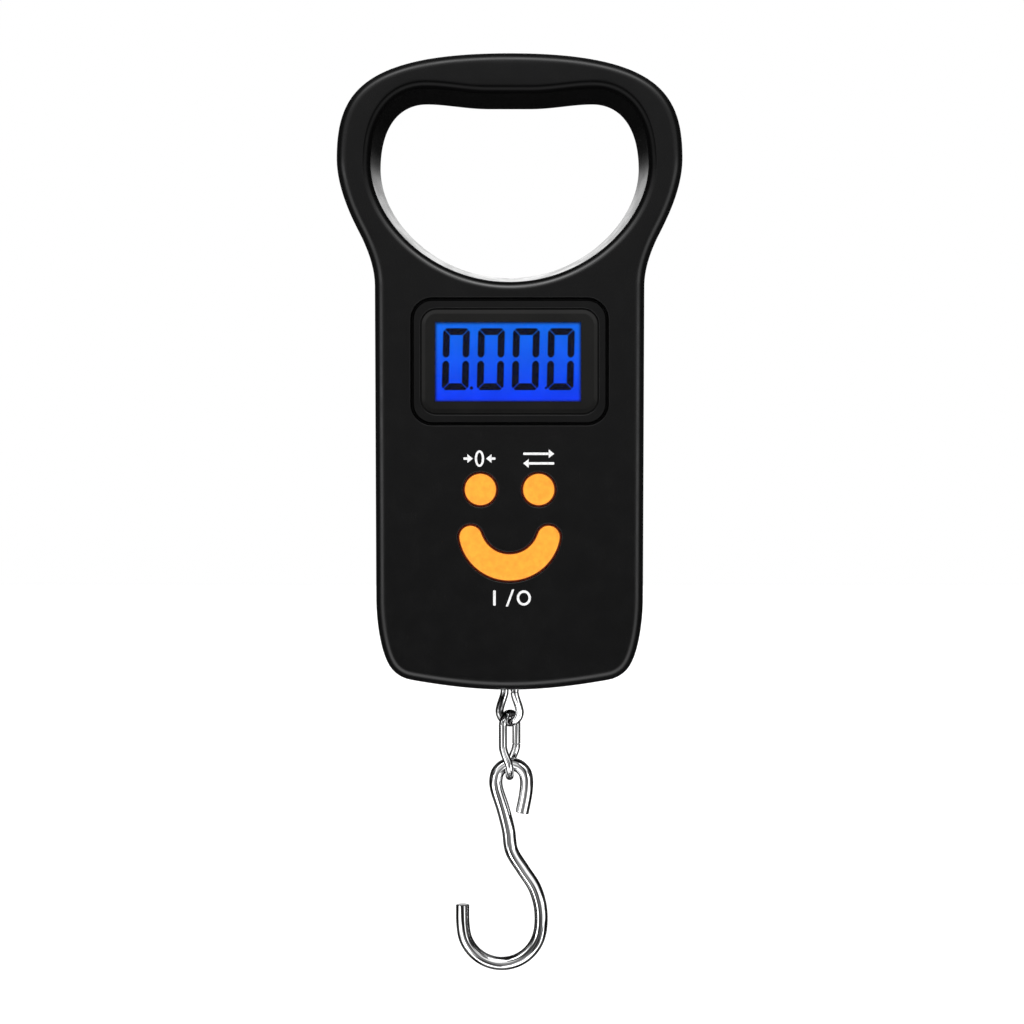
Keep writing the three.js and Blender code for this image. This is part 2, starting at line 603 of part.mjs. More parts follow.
function addLoadCell() {
  const { halfWidth, bottom, top, thickness, slot, slotInset, pocket, web, z } = LOAD_CELL;
  const depth = [LOAD_F - thickness / 2, LOAD_F + thickness / 2];
  const quarter = (top - bottom) / 4;
  const slotAt = (side, slotZ) => {
    const ends = side > 0 ? [-halfWidth + slotInset, 20] : [-20, halfWidth - slotInset];
    return block(ends, [0, 20], [slotZ - slot / 2, slotZ + slot / 2]);
  };
  const pocketCuts = [
    rodForward(0, z, pocket, LOAD_F + web / 2, 20, 16),
    rodForward(0, z, pocket, 0, LOAD_F - web / 2, 16),
  ];
  const tapped = [rodUp(BOLT.radius + BOLT.clearance, top - BOLT.reach - 1, top + 5)];
  tapped.push(rodUp(BOLT.radius + BOLT.clearance, bottom - 5, bottom + BOLT.reach + 1));
  const beam = cut(
    block([-halfWidth, halfWidth], depth, [bottom, top]),
    slotAt(1, z - quarter - 2),
    slotAt(-1, z + quarter + 2),
    ...[...pocketCuts, ...tapped].map(solid),
  );
  addPart('load_cell', geometryOf(beam), FINISH.aluminium);

  // Two foil gauges lie at plus and minus 45 degrees on each face of the web.
  const gaugeThickness = 0.3;
  [1, 2, 3, 4].forEach((number) => {
    const front = number <= 2 ? 1 : -1;
    const side = number % 2 ? 1 : -1;
    const foil = new THREE.BoxGeometry(2.4, gaugeThickness, 4);
    const gauge = addPart(`strain_gauge_${number}`, foil, FINISH.gaugeFoil);
    gauge.position.set(2.5 * side, -(LOAD_F + front * (web / 2 + gaugeThickness / 2 + 0.02)), z);
    gauge.rotation.y = (side * Math.PI) / 4;
  });

  const bar = cut(
    block(
      [-CROSS_BAR.halfWidth, CROSS_BAR.halfWidth],
      [LOAD_F - CROSS_BAR.halfDepth, LOAD_F + CROSS_BAR.halfDepth],
      [CROSS_BAR.bottom, CROSS_BAR.top],
    ),
    solid(rodUp(BOLT.radius + BOLT.clearance, 0, 12)),
  );
  addPart('cross_bar', geometryOf(bar), FINISH.steel);

  const anchor = join(
    solid(rodUp(BOLT.radius, top - BOLT.reach, CROSS_BAR.top + 1)),
    hexPrism(CROSS_BAR.top + 0.02, CROSS_BAR.top + BOLT.head),
  );
  addPart('anchor_bolt', geometryOf(anchor), FINISH.steel);
  const nutBore = () => solid(rodUp(BOLT.radius + BOLT.clearance, -60, 60));
  addPart('anchor_nut', geometryOf(hexPrism(top + 0.02, top + BOLT.nut).subtract(nutBore())), FINISH.steel);
  addPart('eye_bolt_nut', geometryOf(hexPrism(bottom - BOLT.nut, bottom - 0.02).subtract(nutBore())), FINISH.steel);
}

/** One bent wire, a stadium whose lower half turns about the vertical. Its ends meet halfway up the right side. */
class TwistedLink extends THREE.Curve {
  getPoint(t, target = new THREE.Vector3()) {
    const { halfWidth, height, gap, twist, twistEnds } = LINK;
    const straight = height / 2 - halfWidth;
    const bend = Math.PI * halfWidth;
    const along = gap / 2 + t * (2 * bend + 4 * straight - gap);
    const [topBend, leftSide, footBend, rightSide] = [
      straight,
      straight + bend,
      3 * straight + bend,
      3 * straight + 2 * bend,
    ];
    let u = halfWidth;
    let z = along;
    if (along > rightSide) {
      z = along - rightSide - straight;
    } else if (along > footBend) {
      const angle = Math.PI + (along - footBend) / halfWidth;
      u = halfWidth * Math.cos(angle);
      z = -straight + halfWidth * Math.sin(angle);
    } else if (along > leftSide) {
      u = -halfWidth;
      z = straight - (along - leftSide);
    } else if (along > topBend) {
      const angle = (along - topBend) / halfWidth;
      u = halfWidth * Math.cos(angle);
      z = straight + halfWidth * Math.sin(angle);
    }
    const azimuth = -twist * THREE.MathUtils.smoothstep(z, ...twistEnds);
    return target.set(u * Math.cos(azimuth), u * Math.sin(azimuth), z);
  }
}

/** Directions of each loop's plane about the vertical, from the hook up to the eye bolt. */
const LOWER_LINK_FOOT = Math.PI / 2;
const UPPER_LINK_FOOT = LOWER_LINK_FOOT - LINK.twist - Math.PI / 2;
const EYE_TURN = UPPER_LINK_FOOT - LINK.twist + Math.PI / 2;

function addChain() {
  const placeLink = (name, topZ, footTurn) => {
    const link = addPart(name, wireAlong(new TwistedLink(), LINK.wire, 44), FINISH.chrome);
    link.position.set(0, -LOAD_F, topZ - LINK.height / 2);
    link.rotation.z = footTurn;
  };
  placeLink('upper_link', UPPER_LINK_TOP, UPPER_LINK_FOOT);
  placeLink('lower_link', LOWER_LINK_TOP, LOWER_LINK_FOOT);

  const ring = new THREE.TorusGeometry(EYE.radius, EYE.wire, 8, 20).rotateX(Math.PI / 2);
  ring.rotateZ(EYE_TURN).translate(0, -LOAD_F, EYE.z);
  const shankFoot = EYE.z + EYE.radius;
  const eyeBolt = join(solid(ring), solid(rodUp(BOLT.radius, shankFoot, LOAD_CELL.bottom + BOLT.reach)));
  addPart('eye_bolt', geometryOf(eyeBolt), FINISH.steel);
}

/** Points on an arc in the front view, from one angle in degrees to another. */
function arcPoints(cx, cz, radius, fromDegrees, toDegrees, count) {
  return Array.from({ length: count }, (_, i) => {
    const angle = THREE.MathUtils.degToRad(THREE.MathUtils.lerp(fromDegrees, toDegrees, i / (count - 1)));
    return vector(cx + radius * Math.cos(angle), LOAD_F, cz + radius * Math.sin(angle));
  });
}

function addHook() {
  const { eyeX, eyeZ, eyeRadius, bowlX, bowlZ, bowlRadius } = HOOK;
  const centreLine = [
    vector(3.15, LOAD_F, -84.8),
    vector(4.15, LOAD_F, -79.5),
    ...arcPoints(eyeX, eyeZ, eyeRadius, 0, 180, 7),
    vector(-3.4, LOAD_F, -78.2),
    vector(-1.65, LOAD_F, -83.8),
    vector(-0.3, LOAD_F, -89.2),
    vector(0.5, LOAD_F, -94.4),
    vector(3.4, LOAD_F, -99.2),
    vector(6.4, LOAD_F, -103.9),
    vector(7.9, LOAD_F, -109.3),
    ...arcPoints(bowlX, bowlZ, bowlRadius, -10, -180, 9),
    vector(bowlX - bowlRadius - 0.1, LOAD_F, bowlZ + 5.2),
  ];
  const curve = new THREE.CatmullRomCurve3(centreLine, false, 'centripetal');
  addPart('hook', wireAlong(curve, HOOK.wire, 60, 5), FINISH.chrome);
}

// ---------------------------------------------------------------- wires

function addWires() {
  const solder = BOARD.back - 0.05;
  const runs = {
    load_cell_cable: {
      radius: 0.9,
      steps: 14,
      finish: FINISH.greyWire,
      points: [
        vector(LOAD_CELL.halfWidth + 0.1, LOAD_F, -20),
        vector(LOAD_CELL.halfWidth + 1.6, LOAD_F, -20),
        vector(20, LOAD_F + 1.5, -16),
        vector(21.5, solder - 2, -9),
        vector(21.5, solder - 0.2, -9),
      ],
    },
    red_battery_wire: {
      radius: 0.5,
      steps: 2,
      finish: FINISH.redWire,
      points: [
        vector(BAY.halfWidth - 3, BAY.floorF - 0.4, BAY.bottom + 3),
        vector(BAY.halfWidth - 3, BAY.floorF + 1, BAY.bottom + 3),
        vector(BAY.halfWidth - 3, solder, BAY.bottom + 3),
      ],
    },
    black_battery_wire: {
      radius: 0.5,
      steps: 2,
      finish: FINISH.blackWire,
      points: [
        vector(-BAY.halfWidth + 3, BAY.floorF - 0.4, BAY.bottom + 3),
        vector(-BAY.halfWidth + 3, BAY.floorF + 1, BAY.bottom + 3),
        vector(-BAY.halfWidth + 3, solder, BAY.bottom + 3),
      ],
    },
  };
  for (const [name, run] of Object.entries(runs)) {
    const curve = new THREE.CatmullRomCurve3(run.points);
    addPart(name, wireAlong(curve, run.radius, run.steps, 3), run.finish);
  }
}

// ---------------------------------------------------------------- assembly

addPart('front_shell', geometryOf(frontShell()), FINISH.blackPlastic);
addPart('rear_shell', geometryOf(rearShell()), FINISH.blackPlastic);
addPart('battery_cover', geometryOf(batteryCover()), FINISH.blackPlastic);
caseScrewPlaces.forEach(([x, z], i) => {
  const screw = addPart(`case_screw_${i + 1}`, screwGeometry(CASE_SCREW), FINISH.steel);
  screw.position.set(x, -CASE_SCREW.seatF, z);
});
addDisplay();
addBoard();
addButtons();
addCells();
addLoadCell();
addChain();
addHook();
addWires();

export default part;
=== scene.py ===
import json
import math
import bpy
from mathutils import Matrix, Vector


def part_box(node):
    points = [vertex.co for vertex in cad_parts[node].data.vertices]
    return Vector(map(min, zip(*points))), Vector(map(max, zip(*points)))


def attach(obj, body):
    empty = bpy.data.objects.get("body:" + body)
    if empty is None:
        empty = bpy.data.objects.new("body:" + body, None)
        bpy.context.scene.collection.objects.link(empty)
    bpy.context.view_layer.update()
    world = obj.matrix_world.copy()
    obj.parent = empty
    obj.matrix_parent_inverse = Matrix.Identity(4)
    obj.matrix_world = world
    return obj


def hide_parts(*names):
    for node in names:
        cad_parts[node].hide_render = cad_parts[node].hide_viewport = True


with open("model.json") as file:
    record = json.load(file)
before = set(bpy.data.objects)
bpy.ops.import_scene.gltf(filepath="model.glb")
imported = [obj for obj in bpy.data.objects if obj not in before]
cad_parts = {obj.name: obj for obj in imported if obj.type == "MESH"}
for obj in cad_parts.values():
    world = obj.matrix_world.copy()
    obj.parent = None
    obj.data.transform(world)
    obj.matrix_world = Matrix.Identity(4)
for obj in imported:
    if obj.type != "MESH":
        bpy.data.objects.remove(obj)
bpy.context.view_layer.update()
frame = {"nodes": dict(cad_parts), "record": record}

from types import SimpleNamespace as Sizes

import bmesh
import bpy
import numpy as np
from mathutils import Matrix, Vector
from mathutils.geometry import tessellate_polygon

# A hand-held digital fish scale. Lengths are millimetres unless a name or comment says metres. X is to the
# right of the display, F is the distance in front of the flat back (so Blender's Y is -F) and Z is up.
MM = 0.001

# ---------------------------------------------------------------- driving dimensions

DEPTH = 25.0
WALL = 2.2
PARTING = DEPTH / 2
SEAM = 0.1
SEAM_CHAMFER = 0.22
OUTER_EDGE = {"draft": 0.05, "fillet": 2.7}
GRIP_EDGE_FRONT = {"draft": 1.9, "fillet": 2.4}
GRIP_EDGE_REAR = {"draft": 1.9, "fillet": 2.7}
INNER_FILLET = 1.2

# Right halves of the two outlines from the bottom centre to the top: a pair ends a straight run, and six
# numbers are the two handles and the end of a cubic curve.
CASE_START = (0, -52.5)
CASE_HALF = [
    (9, -52.5, 17.9, -51.25, 24.8, -50),
    (27, -49.6, 28.9, -48.3, 30, -46.6),
    (32.2, -43.2, 33.3, -36, 33.4, -30),
    (33.75, 49),
    (33.9, 53.5, 35.6, 58, 38, 62.6),
    (40.4, 67.2, 43.3, 74, 43.3, 80.5),
    (43.3, 96, 38, 106.75, 0, 106.75),
]
GRIP_START = (0, 51.4)
GRIP_HALF = [
    (18.5, 51.4, 32.8, 66, 32.8, 79),
    (32.8, 90, 28, 95.6, 21, 95.6),
    (16, 95.6, 11, 94.4, 5, 94.4),
]

DISPLAY_Z = 29.5
SURROUND = Sizes(width=49.5, height=32, corner=5.5, depth=0.4, backing=0.8)
LENS = Sizes(width=44.2, height=26.2, corner=3.9, front=24.4, thickness=1.2, gap=0.2)
WINDOW = Sizes(width=39.5, height=22.5, corner=1.5)
GROOVE = Sizes(width=0.9, depth=1.1, foot=0.06)
LIT = Sizes(x=-0.4, width=36.75, height=20.1)
DIGIT = Sizes(left=-17.0, pitch=8.75, width=6.7, height=15.5, bottom=22.5, stroke=1.72, lean=0.025)

BUTTON = Sizes(top=25.5, gap=0.42, flange=1.2, flange_back=21.8, flange_thickness=0.9, edge=0.45)
ROUND_BUTTON = Sizes(radius=4.0, x=7.25, z=-2.4)
CRESCENT = Sizes(z=-11.8, radius=10.0, half_end=2.9, half_middle=3.35, end_angle=math.radians(14))
STEM = Sizes(radius=1.6, back=21.42)

BOSS = Sizes(radius=3.2, well=2.7, clearance=1.5, pilot=1.2, pilot_depth=8.0, seat=8.0)
BOARD_BOSS = Sizes(x=27.3, z=(-24, 43.2), radius=2.7, back=17.4, pilot=0.95)
BAY = Sizes(half=26.5, bottom=19.4, top=43.4, floor=12.9, wall=1.4)
COVER = Sizes(half=27.6, bottom=18.5, top=44.2, thickness=1.8, gap=0.25, pin=0.6, pin_length=1.1)
COVER.hinge_z = COVER.top - COVER.thickness / 2
COVER.hinge_f = COVER.thickness / 2
CROSS_BAR = Sizes(half=24.0, bottom=3.0, top=8.0, half_depth=4.0)

LOAD_F = 10.0
MOUTH_RADIUS = 6.5
EYE = Sizes(radius=3.4, wire=1.4, z=-45.0, shank=2.5)
LINK = Sizes(wire=1.05, half_width=3.15, height=16.0, gap=0.1, twist=math.radians(33))
LINK.twist_low, LINK.twist_high = -6.0, 0.0
LINK_TOPS = {"upper_link": -45.7, "lower_link": -59.35}
SCREW = Sizes(head=2.4, core=0.92, crest=1.1, pitch=0.9, turns=9)
SPRING = Sizes(wire=0.35, coils=4, radius=3.6, taper=1.2)
PAD_PITCH = 2.54
HOOK = Sizes(wire=1.7, eye=(0.4, -76.25), eye_radius=3.9, bowl=(-2.0, -113.3), bowl_radius=9.9)

# ---------------------------------------------------------------- outlines


def place(x, f, z):
    """A Blender point, in metres."""
    return Vector((x * MM, -f * MM, z * MM))


class Loop:
    """A closed outline in the front view, anticlockwise, with the outward direction at each point."""

    def __init__(self, points, normals=None):
        self.points = np.array(points, float)
        if normals is None:
            run = np.roll(self.points, -1, axis=0) - np.roll(self.points, 1, axis=0)
            normals = np.column_stack([run[:, 1], -run[:, 0]])
            normals /= np.linalg.norm(normals, axis=1)[:, None]
        self.normals = np.array(normals, float)

    def grown(self, margin):
        return Loop(self.points + self.normals * margin, self.normals)


def resampled(points, count):
    """A loop of evenly spaced points along a closed line."""
    closed = np.vstack([points, points[:1]])
    steps = np.linalg.norm(np.diff(closed, axis=0), axis=1)
    kept = np.concatenate([[True], steps > 1e-6])
    closed = closed[kept]
    along = np.concatenate([[0], np.cumsum(steps[steps > 1e-6])])
    stations = np.linspace(0, along[-1], count, endpoint=False)
    return Loop(np.column_stack([np.interp(stations, along, closed[:, axis]) for axis in (0, 1)]))


def cubic(start, segment, count=60):
    a, b, c, d = np.array(start), *np.array(segment, float).reshape(3, 2)
    t = np.linspace(0, 1, count + 1)[1:, None]
    return (1 - t) ** 3 * a + 3 * (1 - t) ** 2 * t * b + 3 * (1 - t) * t**2 * c + t**3 * d


def mirrored_loop(start, half, count):
    right = [np.array([start], float)]
    for segment in half:
        last = right[-1][-1]
        straight = len(segment) == 2
        right.append(np.linspace(last, segment, 12)[1:] if straight else cubic(last, segment))
    right = np.vstack(right)
    return resampled(np.vstack([right, right[::-1] * (-1, 1)]), count)


def rounded_rectangle(width, height, corner, x=0.0, z=0.0, steps=10):
    points, normals = [], []
    reach_x, reach_z = width / 2 - corner, height / 2 - corner
    for quarter, (side, up) in enumerate([(1, 1), (-1, 1), (-1, -1), (1, -1)]):
        for i in range(steps + 1):
            turn = (quarter + i / steps) * math.pi / 2
            normal = (math.cos(turn), math.sin(turn))
            points.append((x + side * reach_x + corner * normal[0], z + up * reach_z + corner * normal[1]))
            normals.append(normal)
    return Loop(points, normals)


def circle(radius, x=0.0, z=0.0, count=48):
    turns = [2 * math.pi * i / count for i in range(count)]
    normals = [(math.cos(turn), math.sin(turn)) for turn in turns]
    return Loop([(x + radius * nx, z + radius * nz) for nx, nz in normals], normals)


def crescent(count=180):
    """The smile-shaped button: a band round an arc, widest in the middle, with round ends."""
    reach = math.pi / 2 - CRESCENT.end_angle
    outer, inner = [], []
    for t in np.linspace(-1, 1, 60):
        half = CRESCENT.half_middle + (CRESCENT.half_end - CRESCENT.half_middle) * t * t
        for line, radius in ((outer, CRESCENT.radius + half), (inner, CRESCENT.radius - half)):
            line.append((radius * math.sin(t * reach), CRESCENT.z - radius * math.cos(t * reach)))

    def cap(side):
        centre_x = CRESCENT.radius * math.sin(side * reach)
        centre_z = CRESCENT.z - CRESCENT.radius * math.cos(reach)
        turns = [side * (reach + share * math.pi) for share in np.linspace(0, 1, 14)[1:-1]]
        half = CRESCENT.half_end
        return [(centre_x + half * math.sin(turn), centre_z - half * math.cos(turn)) for turn in turns]

    return resampled(np.array(outer + cap(1) + inner[::-1] + cap(-1)[::-1]), count)


CASE_LOOP = mirrored_loop(CASE_START, CASE_HALF, 320)
GRIP_LOOP = mirrored_loop(GRIP_START, GRIP_HALF, 240)
BUTTON_LOOPS = {
    "zero": circle(ROUND_BUTTON.radius, -ROUND_BUTTON.x, ROUND_BUTTON.z, 64),
    "unit": circle(ROUND_BUTTON.radius, ROUND_BUTTON.x, ROUND_BUTTON.z, 64),
    "power": crescent(),
}
BUTTON_STEMS = {
    "zero": (-ROUND_BUTTON.x, ROUND_BUTTON.z),
    "unit": (ROUND_BUTTON.x, ROUND_BUTTON.z),
    "power": (0, CRESCENT.z - CRESCENT.radius),
}

# ---------------------------------------------------------------- mesh tools


class Body:
    """Collects the points and faces of one closed mesh."""

    def __init__(self):
        self.points = []
        self.faces = []

    def add_points(self, points):
        start = len(self.points)
        self.points.extend(points)
        return list(range(start, len(self.points)))

    def ring(self, loop, offset, f):
        moved = loop.points + loop.normals * offset
        return self.add_points([place(x, f, z) for x, z in moved])

    def bridge(self, first, second):
        count = len(first)
        for i in range(count):
            j = (i + 1) % count
            self.faces.append((first[i], first[j], second[j], second[i]))

    def stack(self, loop, profile):
        """Rings of one outline at (offset, depth) pairs, joined in order. Returns the two end rings."""
        rings = [self.ring(loop, offset, f) for offset, f in profile]
        for first, second in zip(rings, rings[1:]):
            self.bridge(first, second)
        return rings[0], rings[-1]

    def cap(self, *rings):
        """Closes one ring, or the space between the first ring and the others inside it."""
        order = [i for ring in rings for i in ring]
        for triangle in tessellate_polygon([[self.points[i] for i in ring] for ring in rings]):
            self.faces.append(tuple(order[k] for k in triangle))

    def object(self, name):
        mesh = bpy.data.meshes.new(name)
        mesh.from_pydata([tuple(point) for point in self.points], [], self.faces)
        return meshed(name, mesh)


def meshed(name, mesh):
    """A linked object of a closed mesh, with its faces turned outwards."""
    shape = bmesh.new()
    shape.from_mesh(mesh)
    bmesh.ops.recalc_face_normals(shape, faces=shape.faces)
    shape.to_mesh(mesh)
    shape.free()
    piece = bpy.data.objects.new(name, mesh)
    bpy.context.scene.collection.objects.link(piece)
    return piece


def extruded(loop, profile, name="tool"):
    body = Body()
    for ring in body.stack(loop, profile):
        body.cap(ring)
    return body.object(name)


def rod(x, z, radius, f0, f1, count=32):
    return extruded(circle(radius, x, z, count), [(0, f0), (0, f1)])


def block(x0, x1, f0, f1, z0, z1, corner=0.05):
    loop = rounded_rectangle(x1 - x0, z1 - z0, corner, (x0 + x1) / 2, (z0 + z1) / 2, 6)
    return extruded(loop, [(0, f0), (0, f1)])


def quarter_round(radius, count):
    """(inset, drop) pairs of a rounded edge, from the foot of its wall to its face."""
    turns = np.linspace(0, math.pi / 2, count)
    return [(radius * (1 - math.cos(turn)), radius * (1 - math.sin(turn))) for turn in turns]


def rounded_cut(loop, floor, face, radius):
    """A cutter from a floor out through a face, which leaves a rounded edge where it meets the face."""
    out = math.copysign(1, face - floor)
    edge = [(inset, face - out * drop) for inset, drop in quarter_round(radius, 5)]
    return extruded(loop, [(0, floor), *edge, (radius, face + 3 * out)])


def lathe(profile, origin, axis, segments=48, name="tool"):
    """A solid of revolution from (radius, distance along the axis) pairs that start and end on the axis."""
    axis = Vector(axis).normalized()
    side = axis.orthogonal().normalized()
    across = axis.cross(side)
    body = Body()
    rings = []
    for radius, along in profile:
        centre = origin + axis * along * MM
        count = segments if radius > 0 else 1
        turns = [2 * math.pi * i / count for i in range(count)]
        rim = [centre + (side * math.cos(t) + across * math.sin(t)) * radius * MM for t in turns]
        rings.append(body.add_points(rim))
    for first, second in zip(rings, rings[1:]):
        if len(first) == len(second):
            body.bridge(first, second)
            continue
        tip, rim = (first[0], second) if len(first) == 1 else (second[0], first)
        for i in range(len(rim)):
            body.faces.append((tip, rim[i], rim[(i + 1) % len(rim)]))
    return body.object(name)


def cylinder(origin, axis, radius, length, segments=32):
    return lathe([(0, 0), (radius, 0), (radius, length), (0, length)], origin, axis, segments)


def sweep(points, radius, sides=24, closed=False, chamfer=0.2, name="tool"):
    """A round wire along a line of points in metres. An open wire has chamfered ends."""
    points = [Vector(point) for point in points]
    count = len(points)
    body = Body()
    rings = []
    tangents = []
    for i in range(count):
        ahead = points[(i + 1) % count] if closed or i + 1 < count else points[i]
        behind = points[i - 1] if closed or i > 0 else points[i]
        tangents.append((ahead - behind).normalized())
    side = tangents[0].orthogonal().normalized()
    sides_along = [side]
    for i in range(1, count):
        side = tangents[i - 1].rotation_difference(tangents[i]) @ side
        side = (side - tangents[i] * side.dot(tangents[i])).normalized()
        sides_along.append(side)
    drift = 0.0
    if closed:
        carried = tangents[-1].rotation_difference(tangents[0]) @ side
        drift = math.atan2(carried.cross(sides_along[0]).dot(tangents[0]), carried.dot(sides_along[0]))
    stations = [(i, 0.0, radius) for i in range(count)]
    if not closed:
        stations = [(0, 0.0, radius - chamfer), (0, chamfer, radius), *stations[1:-1]]
        stations += [(count - 1, -chamfer, radius), (count - 1, 0.0, radius - chamfer)]
    for i, shift, size in stations:
        twist = drift * i / count
        first = Matrix.Rotation(twist, 3, tangents[i]) @ sides_along[i]
        second = tangents[i].cross(first)
        centre = points[i] + tangents[i] * shift * MM
        turns = [2 * math.pi * k / sides for k in range(sides)]
        rim = [centre + (first * math.cos(t) + second * math.sin(t)) * size * MM for t in turns]
        rings.append(body.add_points(rim))
    for first, second in zip(rings, rings[1:]):
        body.bridge(first, second)
    if closed:
        body.bridge(rings[-1], rings[0])
    else:
        body.cap(rings[0])
        body.cap(rings[-1])
    return body.object(name)


def combine(target, tools, operation):
    """Joins closed meshes to the target or cuts them from it, and removes them."""
    for tool in tools:
        modifier = target.modifiers.new("combine", "BOOLEAN")
        modifier.operation = operation
        modifier.solver = "MANIFOLD"
        modifier.object = tool
    graph = bpy.context.evaluated_depsgraph_get()
    mesh = bpy.data.meshes.new_from_object(target.evaluated_get(graph))
    target.modifiers.clear()
    target.data = mesh
    for tool in tools:
        bpy.data.objects.remove(tool)
    if not mesh.polygons:
        raise ValueError(f"{target.name} is empty after {operation}")
    return target


def join(target, tools):
    return combine(target, tools, "UNION")


def cut(target, tools):
    return combine(target, tools, "DIFFERENCE")


def smooth(piece, degrees=32):
    piece.data.shade_smooth()
    piece.data.set_sharp_from_angle(angle=math.radians(degrees))
    modifier = piece.modifiers.new("normals", "WEIGHTED_NORMAL")
    modifier.keep_sharp = True
    return piece


def finish(piece, name, body, node, slot, degrees=32):
    """Names a piece, gives it its finish and sets it on its body in place of a CAD node."""
    piece.name = name
    piece.data.name = name
    piece.data.materials.clear()
    piece.data.materials.append(FINISHES[slot])
    smooth(piece, degrees)
    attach(piece, body)
    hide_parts(node)
    return piece


# ---------------------------------------------------------------- node tools


class Nodes:
    """A short way to write a shader tree."""

    def __init__(self, owner):
        owner.use_nodes = True
        self.tree = owner.node_tree
        self.tree.nodes.clear()

    def add(self, kind, settings=None, **inputs):
        node = self.tree.nodes.new("ShaderNode" + kind)
        for key, value in (settings or {}).items():
            setattr(node, key, value)
        for key, value in inputs.items():
            self.set(node.inputs[key.replace("_", " ")], value)
        return node

    def set(self, socket, value):
        if isinstance(value, bpy.types.NodeSocket):
            self.tree.links.new(value, socket)
            return
        if socket.type == "RGBA" and len(value) == 3:
            value = (*value, 1.0)
        socket.default_value = value

    def math(self, operation, a, b=0.0, clamp=False):
        node = self.add("Math", {"operation": operation, "use_clamp": clamp})
        self.set(node.inputs[0], a)
        self.set(node.inputs[1], b)
        return node.outputs[0]

    def blend(self, factor, a, b):
        node = self.add("Mix", {"data_type": "RGBA"})
        for index, value in ((0, factor), (6, a), (7, b)):
            self.set(node.inputs[index], value)
        return node.outputs[2]

    def curve(self, value, stops):
        """A value drawn through (position, level) stops."""
        ramp = self.add("ValToRGB", Fac=value)
        highest = max(level for _, level in stops)
        elements = ramp.color_ramp.elements
        while len(elements) < len(stops):
            elements.new(0.5)
        for element, (position, level) in zip(elements, stops):
            element.position = position
            element.color = (*[level / highest] * 3, 1.0)
        return self.math("MULTIPLY", ramp.outputs[0], highest)

    def blend_value(self, factor, a, b):
        node = self.add("Mix", {"data_type": "FLOAT"})
        for index, value in ((0, factor), (2, a), (3, b)):
            self.set(node.inputs[index], value)
        return node.outputs[0]

    def mix_shader(self, factor, a, b):
        node = self.add("MixShader", Fac=factor)
        self.tree.links.new(a, node.inputs[1])
        self.tree.links.new(b, node.inputs[2])
        return node.outputs[0]

    def patchy(self, size, detail, low, high):
        """A value that drifts between low and high in patches about size millimetres across."""
        return self.remap(self.noise(size, detail), 0.3, 0.7, low, high)

    def remap(self, value, low, high, out_low=0.0, out_high=1.0, kind="SMOOTHSTEP"):
        node = self.add("MapRange", {"interpolation_type": kind})
        for index, item in enumerate((value, low, high, out_low, out_high)):
            self.set(node.inputs[index], item)
        return node.outputs[0]

    def place(self, scale=(1, 1, 1), turn=(0, 0, 0)):
        """Coordinates of the piece itself, in metres, scaled and turned."""
        coordinate = self.add("TexCoord").outputs["Object"]
        mapping = self.add("Mapping", Vector=coordinate)
        mapping.inputs["Scale"].default_value = scale
        mapping.inputs["Rotation"].default_value = turn
        return mapping.outputs[0]

    def noise(self, size, detail=3.0, vector=None, roughness=0.5):
        """Noise whose features are about size millimetres across."""
        vector = vector or self.place()
        scale = 1 / (size * MM)
        node = self.add("TexNoise", Vector=vector, Scale=scale, Detail=detail, Roughness=roughness)
        return node.outputs[0]

    def axes(self):
        """The piece's own X, Y and Z, in millimetres."""
        coordinate = self.add("TexCoord").outputs["Object"]
        split = self.add("SeparateXYZ", Vector=coordinate)
        return [self.math("MULTIPLY", split.outputs[axis], 1 / MM) for axis in range(3)]

    def bump(self, height, depth, strength=1.0, normal=None):
        """A bump whose full height is depth millimetres."""
        node = self.add("Bump", Height=height, Strength=strength, Distance=depth * MM)
        if normal:
            self.set(node.inputs["Normal"], normal)
        return node.outputs[0]

    def shade(self, **inputs):
        return self.add("BsdfPrincipled", **inputs).outputs[0]

    def output(self, shader, kind="OutputMaterial"):
        node = self.add(kind)
        self.tree.links.new(shader, node.inputs["Surface"])


def material(name):
    made = bpy.data.materials.new(name)
    return made, Nodes(made)


def scratches(nodes, turn, size=0.12, length=45, share=0.70):
    """Sparse fine straight scratches in one direction, as a mask."""
    vector = nodes.place((1.0, 1.0, 1 / length), (0, turn, 0))
    return nodes.remap(nodes.noise(size, 2.0, vector), share, share + 0.03)


# ---------------------------------------------------------------- finishes


